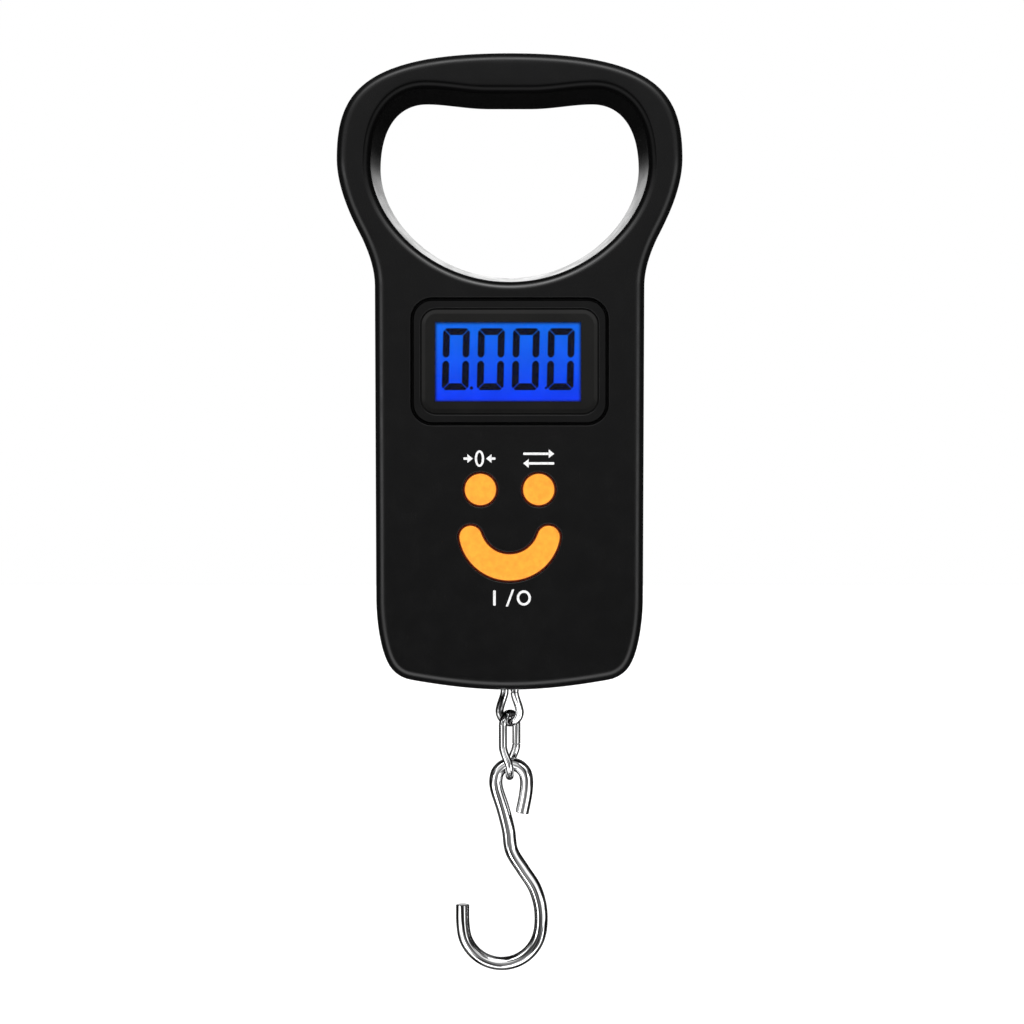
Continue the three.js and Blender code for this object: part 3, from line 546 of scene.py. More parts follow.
def moulded_plastic(name, colour, roughness, spark=0.35, spark_depth=0.004, scuffs=True, gloss=0.5,
                    shaded=False):
    """Injection-moulded plastic with a fine spark-eroded grain, faint flow marks and light handling wear.
    A shaded one gets darker and duller towards the top of the hand opening. That copies the photograph's
    shading and is not a property of the plastic."""
    made, nodes = material(name)
    grain = nodes.noise(spark, 4.0, roughness=0.6)
    flow = nodes.noise(22.0, 3.0)
    smudge = nodes.noise(6.5, 4.0, roughness=0.6)
    tone = nodes.remap(flow, 0.3, 0.7, 0.9, 1.1)
    darker = [channel * 0.86 for channel in colour]
    lighter = [channel * 1.14 for channel in colour]
    base = nodes.blend(nodes.math("MULTIPLY", tone, 0.5), darker, lighter)
    rough = nodes.remap(smudge, 0.25, 0.75, roughness - 0.05, roughness + 0.07)
    if scuffs:
        wear = nodes.math("MAXIMUM", scratches(nodes, 0.5), scratches(nodes, -0.9, 0.15, 60, 0.72))
        rough = nodes.math("ADD", rough, nodes.math("MULTIPLY", wear, 0.05), clamp=True)
    if shaded:
        # Painted shade: the base colour darkens and the gloss fades towards the top of the hand opening.
        rise = nodes.axes()[2]
        gloss = nodes.math("MULTIPLY", nodes.remap(rise, 62.0, 84.0, 1.0, 0.12), gloss)
        base = nodes.blend(nodes.remap(rise, 62.0, 84.0, 0.0, 0.6), base, (0.001, 0.001, 0.001))
    normal = nodes.bump(grain, spark_depth)
    nodes.output(nodes.shade(Base_Color=base, Roughness=rough, Normal=normal, IOR=1.46,
                             Specular_IOR_Level=gloss))
    return made


def button_plastic():
    """Orange moulded button: fine matte grain, faint mottling and painted shade, darker and redder, on the
    rim where it drops into the gap.
    """
    made, nodes = material("button_plastic")
    mottle = nodes.noise(1.3, 5.0, roughness=0.65)
    fleck = nodes.noise(0.28, 2.0)
    base = nodes.blend(nodes.remap(mottle, 0.3, 0.7), (0.90, 0.315, 0.008), (1.0, 0.400, 0.017))
    base = nodes.blend(nodes.remap(fleck, 0.55, 0.75, 0.0, 0.25), base, (1.0, 0.49, 0.05))
    # Painted shade: the base colour goes dark red below the top face, where the button drops into its gap.
    depth = nodes.math("MULTIPLY", nodes.axes()[1], -1.0)
    below = nodes.remap(depth, BUTTON.top - 0.30, BUTTON.top - 0.10, 1.0, 0.0)
    base = nodes.blend(below, base, (0.42, 0.045, 0.004))
    rough = nodes.remap(mottle, 0.3, 0.7, 0.44, 0.58)
    normal = nodes.bump(nodes.noise(0.22, 3.0), 0.006)
    nodes.output(nodes.shade(Base_Color=base, Roughness=rough, Normal=normal, Subsurface_Weight=0.06,
                             Subsurface_Radius=(0.0006, 0.0003, 0.0001)))
    return made


def window_mask(nodes, width, height, x, z, softness):
    """1 inside a rectangle in the front view and 0 outside it."""
    across, _, up = nodes.axes()
    from_x = nodes.math("ABSOLUTE", nodes.math("SUBTRACT", across, x))
    from_z = nodes.math("ABSOLUTE", nodes.math("SUBTRACT", up, z))
    in_x = nodes.remap(from_x, width / 2 - softness, width / 2, 1.0, 0.0)
    in_z = nodes.remap(from_z, height / 2 - softness, height / 2, 1.0, 0.0)
    return nodes.math("MULTIPLY", in_x, in_z)


def printed_lens():
    """Clear acrylic with a black border printed round the lit window, and a few hairline scratches."""
    made, nodes = material("printed_lens")
    clear = window_mask(nodes, LIT.width, LIT.height, LIT.x, DISPLAY_Z, 0.22)
    wear = scratches(nodes, 0.8, 0.1, 70, 0.74)
    rough = nodes.math("ADD", nodes.patchy(5.0, 4.0, 0.05, 0.13), nodes.math("MULTIPLY", wear, 0.15))
    haze = nodes.noise(9.0, 3.0)
    ink = nodes.blend(nodes.remap(haze, 0.3, 0.7), (0.0030, 0.0029, 0.0027), (0.0050, 0.0048, 0.0044))
    border = nodes.shade(Base_Color=ink, Roughness=rough, IOR=1.49, Specular_IOR_Level=0.28)
    gloss = nodes.add("BsdfGlossy", Roughness=rough, Color=(1, 1, 1)).outputs[0]
    through = nodes.add("BsdfTransparent", Color=(0.97, 0.98, 1.0)).outputs[0]
    facing = nodes.add("Fresnel", IOR=1.2).outputs[0]
    nodes.output(nodes.mix_shader(clear, border, nodes.mix_shader(facing, through, gloss)))
    return made


def lit_glass():
    """Liquid crystal glass over a blue light guide: brighter and greener at the top, with painted shade
    dimming it at its edges.
    """
    made, nodes = material("lit_glass")
    up = nodes.axes()[2]
    rise = nodes.remap(up, DISPLAY_Z - LIT.height / 2, DISPLAY_Z + LIT.height / 2, kind="LINEAR")
    blue = nodes.blend(rise, (0.0, 0.034, 0.90), (0.0, 0.142, 0.82))
    cloud = nodes.patchy(7.0, 2.0, 0.93, 1.05)
    # Painted shade: the glow dims towards the edges, where the window frame's shadow falls.
    edge = window_mask(nodes, LIT.width + 0.3, LIT.height + 0.3, LIT.x, DISPLAY_Z, 1.2)
    strength = nodes.math("MULTIPLY", cloud, nodes.remap(edge, 0.0, 1.0, 0.12, 1.0))
    glow = nodes.add("Emission", Color=blue, Strength=strength).outputs[0]
    skin = nodes.shade(Base_Color=(0.0, 0.004, 0.02), Roughness=0.2, Specular_IOR_Level=0.05)
    both = nodes.add("AddShader")
    nodes.tree.links.new(glow, both.inputs[0])
    nodes.tree.links.new(skin, both.inputs[1])
    nodes.output(both.outputs[0])
    return made


def liquid_crystal():
    """A switched-on segment: almost black, with a little of the blue light leaking through."""
    made, nodes = material("liquid_crystal")
    leak = nodes.remap(nodes.noise(1.2, 3.0), 0.35, 0.7, 0.004, 0.018)
    glow = nodes.blend(leak, (0.0, 0.0, 0.0), (0.0, 0.05, 1.0))
    nodes.output(nodes.add("Emission", Color=glow, Strength=1.0).outputs[0])
    return made


def chrome(name="chrome", tint=(0.90, 0.905, 0.91), shine=0.035):
    """Polished plated wire with drawing lines, micro-scratches, slight haze and painted reflections of a dark
    room.
    """
    made, nodes = material(name)
    haze = nodes.noise(3.2, 5.0, roughness=0.65)
    wear = nodes.math("MAXIMUM", scratches(nodes, 0.3, 0.10, 30, 0.68),
                      scratches(nodes, 1.3, 0.08, 30, 0.70))
    rough = nodes.remap(haze, 0.35, 0.75, shine, shine + 0.09)
    rough = nodes.math("ADD", rough, nodes.math("MULTIPLY", wear, 0.12))
    base = nodes.blend(nodes.remap(haze, 0.3, 0.8), tint, [channel * 0.86 for channel in tint])
    # Painted reflection: the base colour goes black in streaks that follow the direction of reflection.
    mirrored = nodes.add("TexCoord").outputs["Reflection"]
    along = nodes.place((28.0, 28.0, 28.0))
    moved = nodes.add("VectorMath", {"operation": "ADD"})
    nodes.set(moved.inputs[0], mirrored)
    nodes.set(moved.inputs[1], along)
    room = nodes.add("TexNoise", Vector=moved.outputs[0], Scale=1.9, Detail=1.0).outputs[0]
    painted_reflection = nodes.math("ADD", nodes.remap(room, 0.42, 0.49, 0.05, 0.55),
                        nodes.remap(room, 0.49, 0.57, 0.0, 0.45))
    base = nodes.blend(painted_reflection, (0.0, 0.0, 0.0), base)
    normal = nodes.bump(nodes.noise(1.6, 2.0), 0.010)
    normal = nodes.bump(wear, 0.002, normal=normal)
    nodes.output(nodes.shade(Base_Color=base, Metallic=1.0, Roughness=rough, Normal=normal))
    return made


def plated_steel():
    """Zinc-plated steel: grey with faint yellow and blue iridescent patches and a dull grain."""
    made, nodes = material("plated_steel")
    patch = nodes.noise(2.8, 3.0)
    base = nodes.blend(nodes.remap(patch, 0.35, 0.65), (0.52, 0.50, 0.44), (0.50, 0.54, 0.60))
    rough = nodes.patchy(0.7, 4.0, 0.20, 0.38)
    normal = nodes.bump(nodes.noise(0.3, 3.0), 0.004)
    nodes.output(nodes.shade(Base_Color=base, Metallic=1.0, Roughness=rough, Normal=normal))
    return made


def brushed_aluminium():
    """Machined aluminium with lengthways tool marks."""
    made, nodes = material("brushed_aluminium")
    lines = nodes.noise(0.25, 3.0, nodes.place((1.0, 1.0, 0.03)))
    base = nodes.blend(nodes.remap(lines, 0.3, 0.7), (0.58, 0.60, 0.62), (0.70, 0.71, 0.72))
    rough = nodes.remap(lines, 0.3, 0.7, 0.26, 0.40)
    normal = nodes.bump(lines, 0.004)
    nodes.output(nodes.shade(Base_Color=base, Metallic=1.0, Roughness=rough, Normal=normal))
    return made


def circuit_board():
    """Green solder mask over copper tracks, with tinned pads."""
    made, nodes = material("circuit_board")
    across, _, up = nodes.axes()
    tracks = nodes.add("TexVoronoi", {"feature": "DISTANCE_TO_EDGE", "distance": "MANHATTAN"},
                       Vector=nodes.place(), Scale=1 / (5.0 * MM)).outputs["Distance"]
    copper = nodes.remap(tracks, 0.05, 0.07, 1.0, 0.0)
    grid_x = nodes.math("FRACT", nodes.math("MULTIPLY", across, 1 / PAD_PITCH))
    grid_z = nodes.math("FRACT", nodes.math("MULTIPLY", up, 1 / PAD_PITCH))
    from_x = nodes.math("SUBTRACT", grid_x, 0.5)
    from_z = nodes.math("SUBTRACT", grid_z, 0.5)
    radius = nodes.math("SQRT", nodes.math("ADD", nodes.math("MULTIPLY", from_x, from_x),
                                           nodes.math("MULTIPLY", from_z, from_z)))
    chosen = nodes.remap(nodes.noise(2.5, 0.0), 0.56, 0.57)
    pad = nodes.math("MULTIPLY", nodes.remap(radius, 0.17, 0.20, 1.0, 0.0), chosen)
    mask = nodes.blend(copper, (0.008, 0.105, 0.032), (0.022, 0.20, 0.055))
    base = nodes.blend(pad, mask, (0.72, 0.70, 0.64))
    rough = nodes.remap(pad, 0.0, 1.0, 0.42, 0.28)
    normal = nodes.bump(nodes.math("ADD", copper, pad), 0.03)
    nodes.output(nodes.shade(Base_Color=base, Metallic=pad, Roughness=rough, Normal=normal))
    return made


def component_body():
    """Moulded epoxy of chips, switches and capacitors."""
    made, nodes = material("component_body")
    grain = nodes.noise(0.25, 4.0)
    base = nodes.blend(grain, (0.006, 0.006, 0.007), (0.020, 0.020, 0.022))
    nodes.output(nodes.shade(Base_Color=base, Roughness=nodes.remap(grain, 0.3, 0.7, 0.5, 0.7),
                             Normal=nodes.bump(grain, 0.01)))
    return made


def gauge_foil():
    """Amber polyimide over a fine etched grid."""
    made, nodes = material("gauge_foil")
    wave = nodes.add("TexWave", {"bands_direction": "DIAGONAL"}, Vector=nodes.place(), Scale=700.0,
                     Distortion=0.0)
    base = nodes.blend(wave.outputs["Fac"], (0.55, 0.22, 0.035), (0.30, 0.16, 0.06))
    nodes.output(nodes.shade(Base_Color=base, Roughness=0.3, Coat_Weight=0.5))
    return made


def cell_jacket():
    """Printed plastic sleeve in two plain bands, with a thin metallic line between them."""
    made, nodes = material("cell_jacket")
    across = nodes.axes()[0]
    from_middle = nodes.math("SUBTRACT", across, 6.0)
    band = nodes.remap(from_middle, -0.05, 0.05)
    line = nodes.remap(nodes.math("ABSOLUTE", from_middle), 0.5, 0.6, 1.0, 0.0)
    fade = nodes.patchy(4.0, 4.0, 0.0, 0.25)
    green = nodes.blend(fade, (0.020, 0.20, 0.075), (0.035, 0.30, 0.12))
    base = nodes.blend(band, green, (0.010, 0.010, 0.011))
    base = nodes.blend(line, base, (0.75, 0.62, 0.30))
    rough = nodes.patchy(1.5, 4.0, 0.22, 0.36)
    nodes.output(nodes.shade(Base_Color=base, Metallic=line, Roughness=rough))
    return made


def striped_rubber():
    """Elastomer strip of alternating black and clear layers."""
    made, nodes = material("striped_rubber")
    across = nodes.axes()[0]
    layer = nodes.math("PINGPONG", across, 0.18)
    base = nodes.blend(nodes.remap(layer, 0.07, 0.11), (0.015, 0.015, 0.016), (0.30, 0.30, 0.29))
    nodes.output(nodes.shade(Base_Color=base, Roughness=nodes.patchy(0.5, 3.0, 0.6, 0.8)))
    return made


def insulation(name, colour):
    """Flexible vinyl insulation with a slightly waxy, scuffed surface."""
    made, nodes = material(name)
    scuff = nodes.noise(1.2, 4.0)
    base = nodes.blend(scuff, [channel * 0.8 for channel in colour], [channel * 1.25 for channel in colour])
    nodes.output(nodes.shade(Base_Color=base, Roughness=nodes.remap(scuff, 0.3, 0.7, 0.38, 0.60),
                             Normal=nodes.bump(scuff, 0.01)))
    return made


def backlight():
    """Light guide with a faint dot pattern, glowing blue."""
    made, nodes = material("backlight")
    dots = nodes.add("TexVoronoi", Vector=nodes.place(), Scale=1 / (0.6 * MM)).outputs["Distance"]
    glow = nodes.blend(nodes.remap(dots, 0.15, 0.35), (0.25, 0.5, 1.0), (0.0, 0.13, 1.0))
    nodes.output(nodes.shade(Base_Color=(0.1, 0.2, 0.8), Roughness=0.3, Emission_Color=glow,
                             Emission_Strength=0.7))
    return made


def printed_ink():
    """White pad-printed ink: thin, slightly uneven and matte."""
    made, nodes = material("printed_ink")
    cover = nodes.remap(nodes.noise(0.35, 4.0), 0.25, 0.6)
    base = nodes.blend(cover, (0.62, 0.62, 0.62), (0.90, 0.90, 0.90))
    nodes.output(nodes.shade(Base_Color=base, Roughness=0.6, Normal=nodes.bump(cover, 0.004)))
    return made


CASE_BLACK = (0.0032, 0.0032, 0.0033)
CASE_GLOSS = 0.2
# A copy of the case plastic with painted shade, darker and duller towards the top of the hand opening.
SHADED_GRIP_PLASTIC = moulded_plastic("shaded_grip_plastic", CASE_BLACK, 0.20, gloss=0.35, shaded=True)
FINISHES = {
    "case_plastic": moulded_plastic("case_plastic", CASE_BLACK, 0.20, gloss=CASE_GLOSS),
    "button_plastic": button_plastic(),
    "clear_lens": printed_lens(),
    "lcd_glass": lit_glass(),
    "backlight": backlight(),
    "white_plastic": moulded_plastic("white_plastic", (0.70, 0.70, 0.66), 0.48, 0.5, 0.006, False),
    "connector_rubber": striped_rubber(),
    "circuit_board": circuit_board(),
    "dark_component": component_body(),
    "plated_steel": plated_steel(),
    "chromed_steel": chrome(),
    "load_cell_aluminium": brushed_aluminium(),
    "gauge_foil": gauge_foil(),
    "battery_jacket": cell_jacket(),
    "grey_insulation": insulation("grey_insulation", (0.24, 0.26, 0.28)),
    "red_insulation": insulation("red_insulation", (0.48, 0.016, 0.012)),
    "black_insulation": insulation("black_insulation", (0.010, 0.010, 0.010)),
}

# ---------------------------------------------------------------- case shells


def edge_profile(draft, fillet, seam_f, face_f, steps=9):
    """(inset, depth) pairs of a shell's outside: seam, drafted wall, fillet and face."""
    out = math.copysign(1, face_f - seam_f)
    height = abs(face_f - seam_f)
    lean = math.atan(draft / (height - fillet))
    arc = []
    for turn in np.linspace(lean, math.pi / 2, steps):
        inset = draft + fillet * (math.cos(lean) - math.cos(turn))
        arc.append((inset, face_f - out * fillet * (1 - math.sin(turn))))
    return [(SEAM_CHAMFER, seam_f), (0.0, seam_f + out * SEAM_CHAMFER), *arc]


def hollow_profile(draft, seam_f, face_f):
    """(inset, depth) pairs of the inside wall from its face back to the seam."""
    out = math.copysign(1, face_f - seam_f)
    inner = face_f - out * WALL
    arc = []
    for turn in np.linspace(math.pi / 2, 0, 4):
        inset = WALL + draft + INNER_FILLET * (1 - math.cos(turn))
        arc.append((inset, inner - out * INNER_FILLET * (1 - math.sin(turn))))
    return [*arc, (WALL, seam_f)]


def shell(seam_f, face_f, name):
    """Half of the case: a wall round the outside, one round the hand opening, and the face between."""
    body = Body()
    ends = []
    grip_edge = GRIP_EDGE_FRONT if face_f > seam_f else GRIP_EDGE_REAR
    for loop, edge, sign in ((CASE_LOOP, OUTER_EDGE, -1), (GRIP_LOOP, grip_edge, 1)):
        profile = hollow_profile(edge["draft"], seam_f, face_f)
        profile += edge_profile(**edge, seam_f=seam_f, face_f=face_f)
        ends.append(body.stack(loop, [(sign * inset, f) for inset, f in profile]))
    (outer_in, outer_face), (grip_in, grip_face) = ends
    body.cap(outer_in, grip_in)
    body.cap(outer_face, grip_face)
    return body.object(name)


def inside(loop, x, z):
    """Whether a point lies inside an outline."""
    here, ahead = loop.points, np.roll(loop.points, -1, axis=0)
    spans = (here[:, 1] > z) != (ahead[:, 1] > z)
    rise = np.where(spans, ahead[:, 1] - here[:, 1], 1.0)
    crossing = here[:, 0] + (z - here[:, 1]) * (ahead[:, 0] - here[:, 0]) / rise
    return np.count_nonzero(spans & (crossing > x)) % 2 == 1


def shade_grip(piece):
    """Gives the wall and the rounded edge of the hand opening a copy of the case plastic with painted shade.
    """
    edge = GRIP_LOOP.grown(3.8)
    piece.data.materials.append(SHADED_GRIP_PLASTIC)
    for face in piece.data.polygons:
        if inside(edge, face.center.x / MM, face.center.z / MM):
            face.material_index = 1


def groove_tool(loop, width, foot, f0, f1):
    """A cutter for a V-shaped groove just inside an outline."""
    body = Body()
    middle = -width / 2
    outside = body.stack(loop, [(middle + foot / 2, f0), (-0.01, f1), (-0.01, f1 + 0.2)])
    within = body.stack(loop, [(middle - foot / 2, f0), (-width, f1), (-width, f1 + 0.2)])
    body.cap(outside[0], within[0])
    body.cap(outside[1], within[1])
    return body.object("tool")


def screw_places():
    """Centre of each case screw in the front view, from the frame."""
    found = []
    for i in range(1, 7):
        low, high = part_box(f"case_screw_{i}")
        found.append(((low.x + high.x) / 2 / MM, (low.z + high.z) / 2 / MM))
    return found


def chain_mouth():
    """The round hole in the bottom edge that the chain passes through."""
    top = place(0, LOAD_F, -46)
    return lathe(
        [(0, 0), (MOUTH_RADIUS, 0), (MOUTH_RADIUS, 5.9), (MOUTH_RADIUS + 0.5, 6.6),
         (MOUTH_RADIUS + 0.5, 9), (0, 9)],
        top, (0, 0, -1), 64,
    )


def display_loop(sizes):
    return rounded_rectangle(sizes.width, sizes.height, sizes.corner, 0, DISPLAY_Z)


def front_shell():
    seam = PARTING + SEAM / 2
    inner = DEPTH - WALL
    piece = shell(seam, DEPTH, "front")
    boards = [(side * BOARD_BOSS.x, z) for side in (1, -1) for z in BOARD_BOSS.z]
    backing = display_loop(SURROUND)
    join(piece, [
        *[rod(x, z, BOSS.radius, seam, inner + 0.5) for x, z in screw_places()],
        *[rod(x, z, BOARD_BOSS.radius, BOARD_BOSS.back, inner + 0.5) for x, z in boards],
        extruded(backing, [(0, inner - SURROUND.backing), (0, inner + 0.4)]),
    ])
    step = DEPTH - SURROUND.depth
    pocket = LENS.front - LENS.thickness - 0.05
    lens = display_loop(LENS).grown(LENS.gap)
    window = display_loop(WINDOW)
    return cut(piece, [
        rounded_cut(backing, step, DEPTH, 0.12),
        groove_tool(backing, GROOVE.width, GROOVE.foot, step - GROOVE.depth, step),
        rounded_cut(lens, pocket, step, 0.15),
        extruded(window, [(0, 20), (0, 30)]),
        *[rounded_cut(loop.grown(BUTTON.gap), 20, DEPTH, 0.28) for loop in BUTTON_LOOPS.values()],
        *[rod(x, z, BOSS.pilot, PARTING - 1, PARTING + BOSS.pilot_depth, 20) for x, z in screw_places()],
        *[rod(x, z, BOARD_BOSS.pilot, BOARD_BOSS.back - 1, inner - 0.4, 16) for x, z in boards],
        chain_mouth(),
    ])


def thumb_dish():
    """The shallow dish below the battery cover that a fingernail goes into."""
    width, depth, height = 12.0, 7.2, 10.8
    profile = [(math.sin(t), -math.cos(t)) for t in np.linspace(0, math.pi, 25)]
    profile = [(0 if i in (0, 24) else radius, along) for i, (radius, along) in enumerate(profile)]
    dish = lathe(profile, Vector((0, 0, 0)), (0, 1, 0), 64)
    dish.data.transform(Matrix.Diagonal((width, depth, height, 1)))
    dish.data.transform(Matrix.Translation(place(0, -6, COVER.bottom - 3)))
    return dish


def hinge_rod(radius, half):
    return cylinder(place(-half, COVER.hinge_f, COVER.hinge_z), (1, 0, 0), radius, 2 * half, 24)


def rear_shell():
    seam = PARTING - SEAM / 2
    piece = shell(seam, 0.0, "rear")
    bay_wall = BAY.wall
    bay_half = BAY.half + bay_wall
    join(piece, [
        *[rod(x, z, BOSS.radius, WALL - 1, seam) for x, z in screw_places()],
        block(-bay_half, bay_half, WALL - 1, BAY.floor + bay_wall, BAY.bottom - bay_wall,
              BAY.top + bay_wall),
        *[block(x0, x1, WALL - 1, seam, CROSS_BAR.bottom - 4, CROSS_BAR.top + 2.5)
          for x0, x1 in ((20, 32), (-32, -20))],
    ])
    seat_half = COVER.half + COVER.gap
    seat_height = COVER.top - COVER.bottom + 2 * COVER.gap
    seat = rounded_rectangle(2 * seat_half, seat_height, 0.4, 0, (COVER.top + COVER.bottom) / 2)
    bay = rounded_rectangle(2 * BAY.half, BAY.top - BAY.bottom, 0.8, 0, (BAY.top + BAY.bottom) / 2)
    notch = BAY.half - 3
    return cut(piece, [
        *[rounded_cut(circle(BOSS.well, x, z), BOSS.seat, 0.0, 0.35) for x, z in screw_places()],
        *[rod(x, z, BOSS.clearance, 5, 14, 24) for x, z in screw_places()],
        rounded_cut(bay, BAY.floor, COVER.thickness + 0.1, 0.25),
        rounded_cut(seat, COVER.thickness + 0.1, 0.0, 0.3),
        hinge_rod(COVER.pin + 0.08, seat_half + COVER.pin_length),
        thumb_dish(),
        block(-CROSS_BAR.half - 0.2, CROSS_BAR.half + 0.2, LOAD_F - CROSS_BAR.half_depth - 0.1, 30,
              CROSS_BAR.bottom - 0.1, CROSS_BAR.top + 0.1),
        *[block(x - 1, x + 1, BAY.floor - 1, 20, BAY.bottom + 2, BAY.bottom + 4) for x in (notch, -notch)],
        chain_mouth(),
    ])


def battery_cover():
    """A panel with a rolled hinge edge, two hinge pins, three finger grooves and two ribs for the cells."""
    height = COVER.hinge_z - COVER.bottom
    loop = rounded_rectangle(2 * COVER.half, height + 0.5, 0.65, 0, COVER.bottom + (height + 0.5) / 2)
    arc = [(-drop, inset) for inset, drop in quarter_round(0.3, 5)]
    panel = extruded(loop, [*arc, (0, COVER.thickness)])
    roll_radius = COVER.thickness / 2
    roll = cylinder(place(-COVER.half, COVER.hinge_f, COVER.hinge_z), (1, 0, 0), roll_radius,
                    2 * COVER.half, 32)
    ribs = [block(x - 0.6, x + 0.6, 1, 2.0, BAY.bottom + 1.5, BAY.bottom + 16, 0.5) for x in (-12, 12)]
    join(panel, [roll, hinge_rod(COVER.pin, COVER.half + COVER.pin_length), *ribs])
    grooves = []
    for i in range(3):
        groove = rounded_rectangle(18 + 2.5 * i, 0.9, 0.44, 0, COVER.bottom + 2.45 + 2.2 * i)
        grooves.append(rounded_cut(groove, 0.4, 0.0, 0.18))
    return cut(panel, grooves)


def build_case():
    shade_grip(finish(front_shell(), "front_case", "case", "front_shell", "case_plastic"))
    shade_grip(finish(rear_shell(), "rear_case", "case", "rear_shell", "case_plastic"))
    finish(battery_cover(), "battery_door_panel", "battery_door", "battery_cover", "case_plastic")


# ---------------------------------------------------------------- display and marks


def build_lens():
    loop = display_loop(LENS).grown(-0.15)
    front, back = LENS.front, LENS.front - LENS.thickness
    profile = [(-0.1, back), (0, back + 0.1), (0, front - 0.2), (-0.06, front - 0.15), (-0.9, front - 0.01),
               (-1.05, front)]
    finish(extruded(loop, profile), "display_window", "case", "display_lens", "clear_lens", 20)


def build_lcd():
    low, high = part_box("lcd_panel")
    x0, x1, z0, z1 = (value / MM for value in (low.x, high.x, low.z, high.z))
    front, back = -low.y / MM, -high.y / MM
    loop = rounded_rectangle(x1 - x0, z1 - z0, 0.3, (x0 + x1) / 2, (z0 + z1) / 2, 4)
    profile = [(-0.15, back), (0, back + 0.15), (0, front - 0.15), (-0.15, front)]
    finish(extruded(loop, profile), "lcd_pane", "case", "lcd_panel", "lcd_glass")
    build_digits(front)


def segment_shapes():
    """The six lit segments of a zero: four uprights with pointed middles, and a mitred top and bottom."""
    width, height, stroke = DIGIT.width, DIGIT.height, DIGIT.stroke
    chamfer, gap, middle = 0.75, 0.09, 0.42
    half = height / 2
    top = [(chamfer + gap, height), (width - chamfer - gap, height),
           (width - chamfer / 2 - gap, height - chamfer / 2),
           (width - stroke - gap, height - stroke), (stroke + gap, height - stroke),
           (chamfer / 2 + gap, height - chamfer / 2)]
    upright = [(0, height - chamfer - gap), (0, half + middle + 0.65), (stroke * 0.32, half + middle),
               (stroke * 0.68, half + middle), (stroke, half + middle + 0.65),
               (stroke, height - stroke - gap),
               (chamfer / 2, height - chamfer / 2 - gap)]
    across = [(width - x, z) for x, z in upright]
    upper = [top, upright, across]
    return upper + [[(x, height - z) for x, z in shape] for shape in upper]


def prism(body, outline, f0, f1):
    """Adds a flat closed piece to a body."""
    for ring in body.stack(Loop(outline, np.zeros((len(outline), 2))), [(0, f0), (0, f1)]):
        body.cap(ring)


def add_print(body, name, ink):
    """Adds a thin printed layer to the case. It stands for no CAD node."""
    piece = body.object(name)
    piece.data.materials.append(ink)
    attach(piece, "case")


def build_digits(glass_front):
    body = Body()
    f0, f1 = glass_front + 0.01, glass_front + 0.05
    for i in range(4):
        left = DIGIT.left + i * DIGIT.pitch
        for shape in segment_shapes():
            prism(body, [(left + x + DIGIT.lean * z, DIGIT.bottom + z) for x, z in shape], f0, f1)
    for x, radius in ((-9.55, 0.42), (9.1, 0.30)):
        prism(body, circle(radius, x, DIGIT.bottom + 0.55, 16).points, f0, f1)
    add_print(body, "lcd_segments", liquid_crystal())


def bar(x0, x1, z0, z1):
    width, height = x1 - x0, z1 - z0
    corner = min(width, height) * 0.3
    return rounded_rectangle(width, height, corner, (x0 + x1) / 2, (z0 + z1) / 2, 3).points


def arrow(x0, x1, z, stroke=0.6, head=1.5):
    """Outlines of an arrow from x0 to x1."""
    way = math.copysign(1, x1 - x0)
    neck = x1 - way * head * 0.9
    ends = sorted((x0, neck + way * 0.05))
    tip = [(x1, z), (neck, z + head * 0.72), (neck, z - head * 0.72)]
    return [bar(*ends, z - stroke / 2, z + stroke / 2), tip]


def ring_mark(body, x, z, radius_x, radius_z, stroke, f0, f1):
    turns = np.linspace(0, 2 * math.pi, 40, endpoint=False)
    rims = []
    for shrink in (0, stroke):
        reach_x, reach_z = radius_x - shrink, radius_z - shrink
        rims.append([(x + reach_x * math.cos(t), z + reach_z * math.sin(t)) for t in turns])
    still = np.zeros((len(turns), 2))
    outer = body.stack(Loop(rims[0], still), [(0, f0), (0, f1)])
    inner = body.stack(Loop(rims[1], still), [(0, f0), (0, f1)])
    body.cap(outer[0], inner[0])
    body.cap(outer[1], inner[1])


def build_marks():
    """Printed pictograms in place of words: return to zero, change of unit, and on or off."""
    f0, f1 = DEPTH - 0.01, DEPTH + 0.03
    ink = printed_ink()
    zero, unit, power = Body(), Body(), Body()
    for shape in arrow(-11.5, -9.15, 5.3) + arrow(-3.5, -5.85, 5.3):
        prism(zero, shape, f0, f1)
    ring_mark(zero, -7.5, 5.3, 1.15, 2.05, 0.55, f0, f1)
    for shape in arrow(3.4, 11.1, 6.5) + arrow(11.1, 3.4, 4.1):
        prism(unit, shape, f0, f1)
    prism(power, bar(-4.1, -3.45, -31.3, -27.5), f0, f1)
    slash = [(-0.95, -31.5), (-0.4, -31.5), (1.15, -27.3), (0.6, -27.3)]
    prism(power, slash, f0, f1)
    ring_mark(power, 3.55, -29.4, 1.75, 1.9, 0.6, f0, f1)
    for name, body in (("zero_mark", zero), ("unit_mark", unit), ("power_mark", power)):
        add_print(body, name, ink)


# ---------------------------------------------------------------- buttons


def build_buttons():
    top, edge = BUTTON.top, BUTTON.edge
    back = BUTTON.flange_back
    lip = back + BUTTON.flange_thickness
    arc = [(-inset, top - 0.06 - drop) for inset, drop in quarter_round(edge, 6)]
    flange = BUTTON.flange
    profile = [(flange - 0.1, back), (flange, back + 0.1), (flange, lip - 0.1), (flange - 0.1, lip), (0, lip),
               *arc, (-1.3, top - 0.02), (-2.1, top)]
    for name, loop in BUTTON_LOOPS.items():
        piece = extruded(loop, profile)
        x, z = BUTTON_STEMS[name]
        join(piece, [rod(x, z, STEM.radius, STEM.back, back + 0.5)])
        finish(piece, f"{name}_key_cap", f"{name}_key", f"{name}_button", "button_plastic", 40)


# ---------------------------------------------------------------- screws and cells


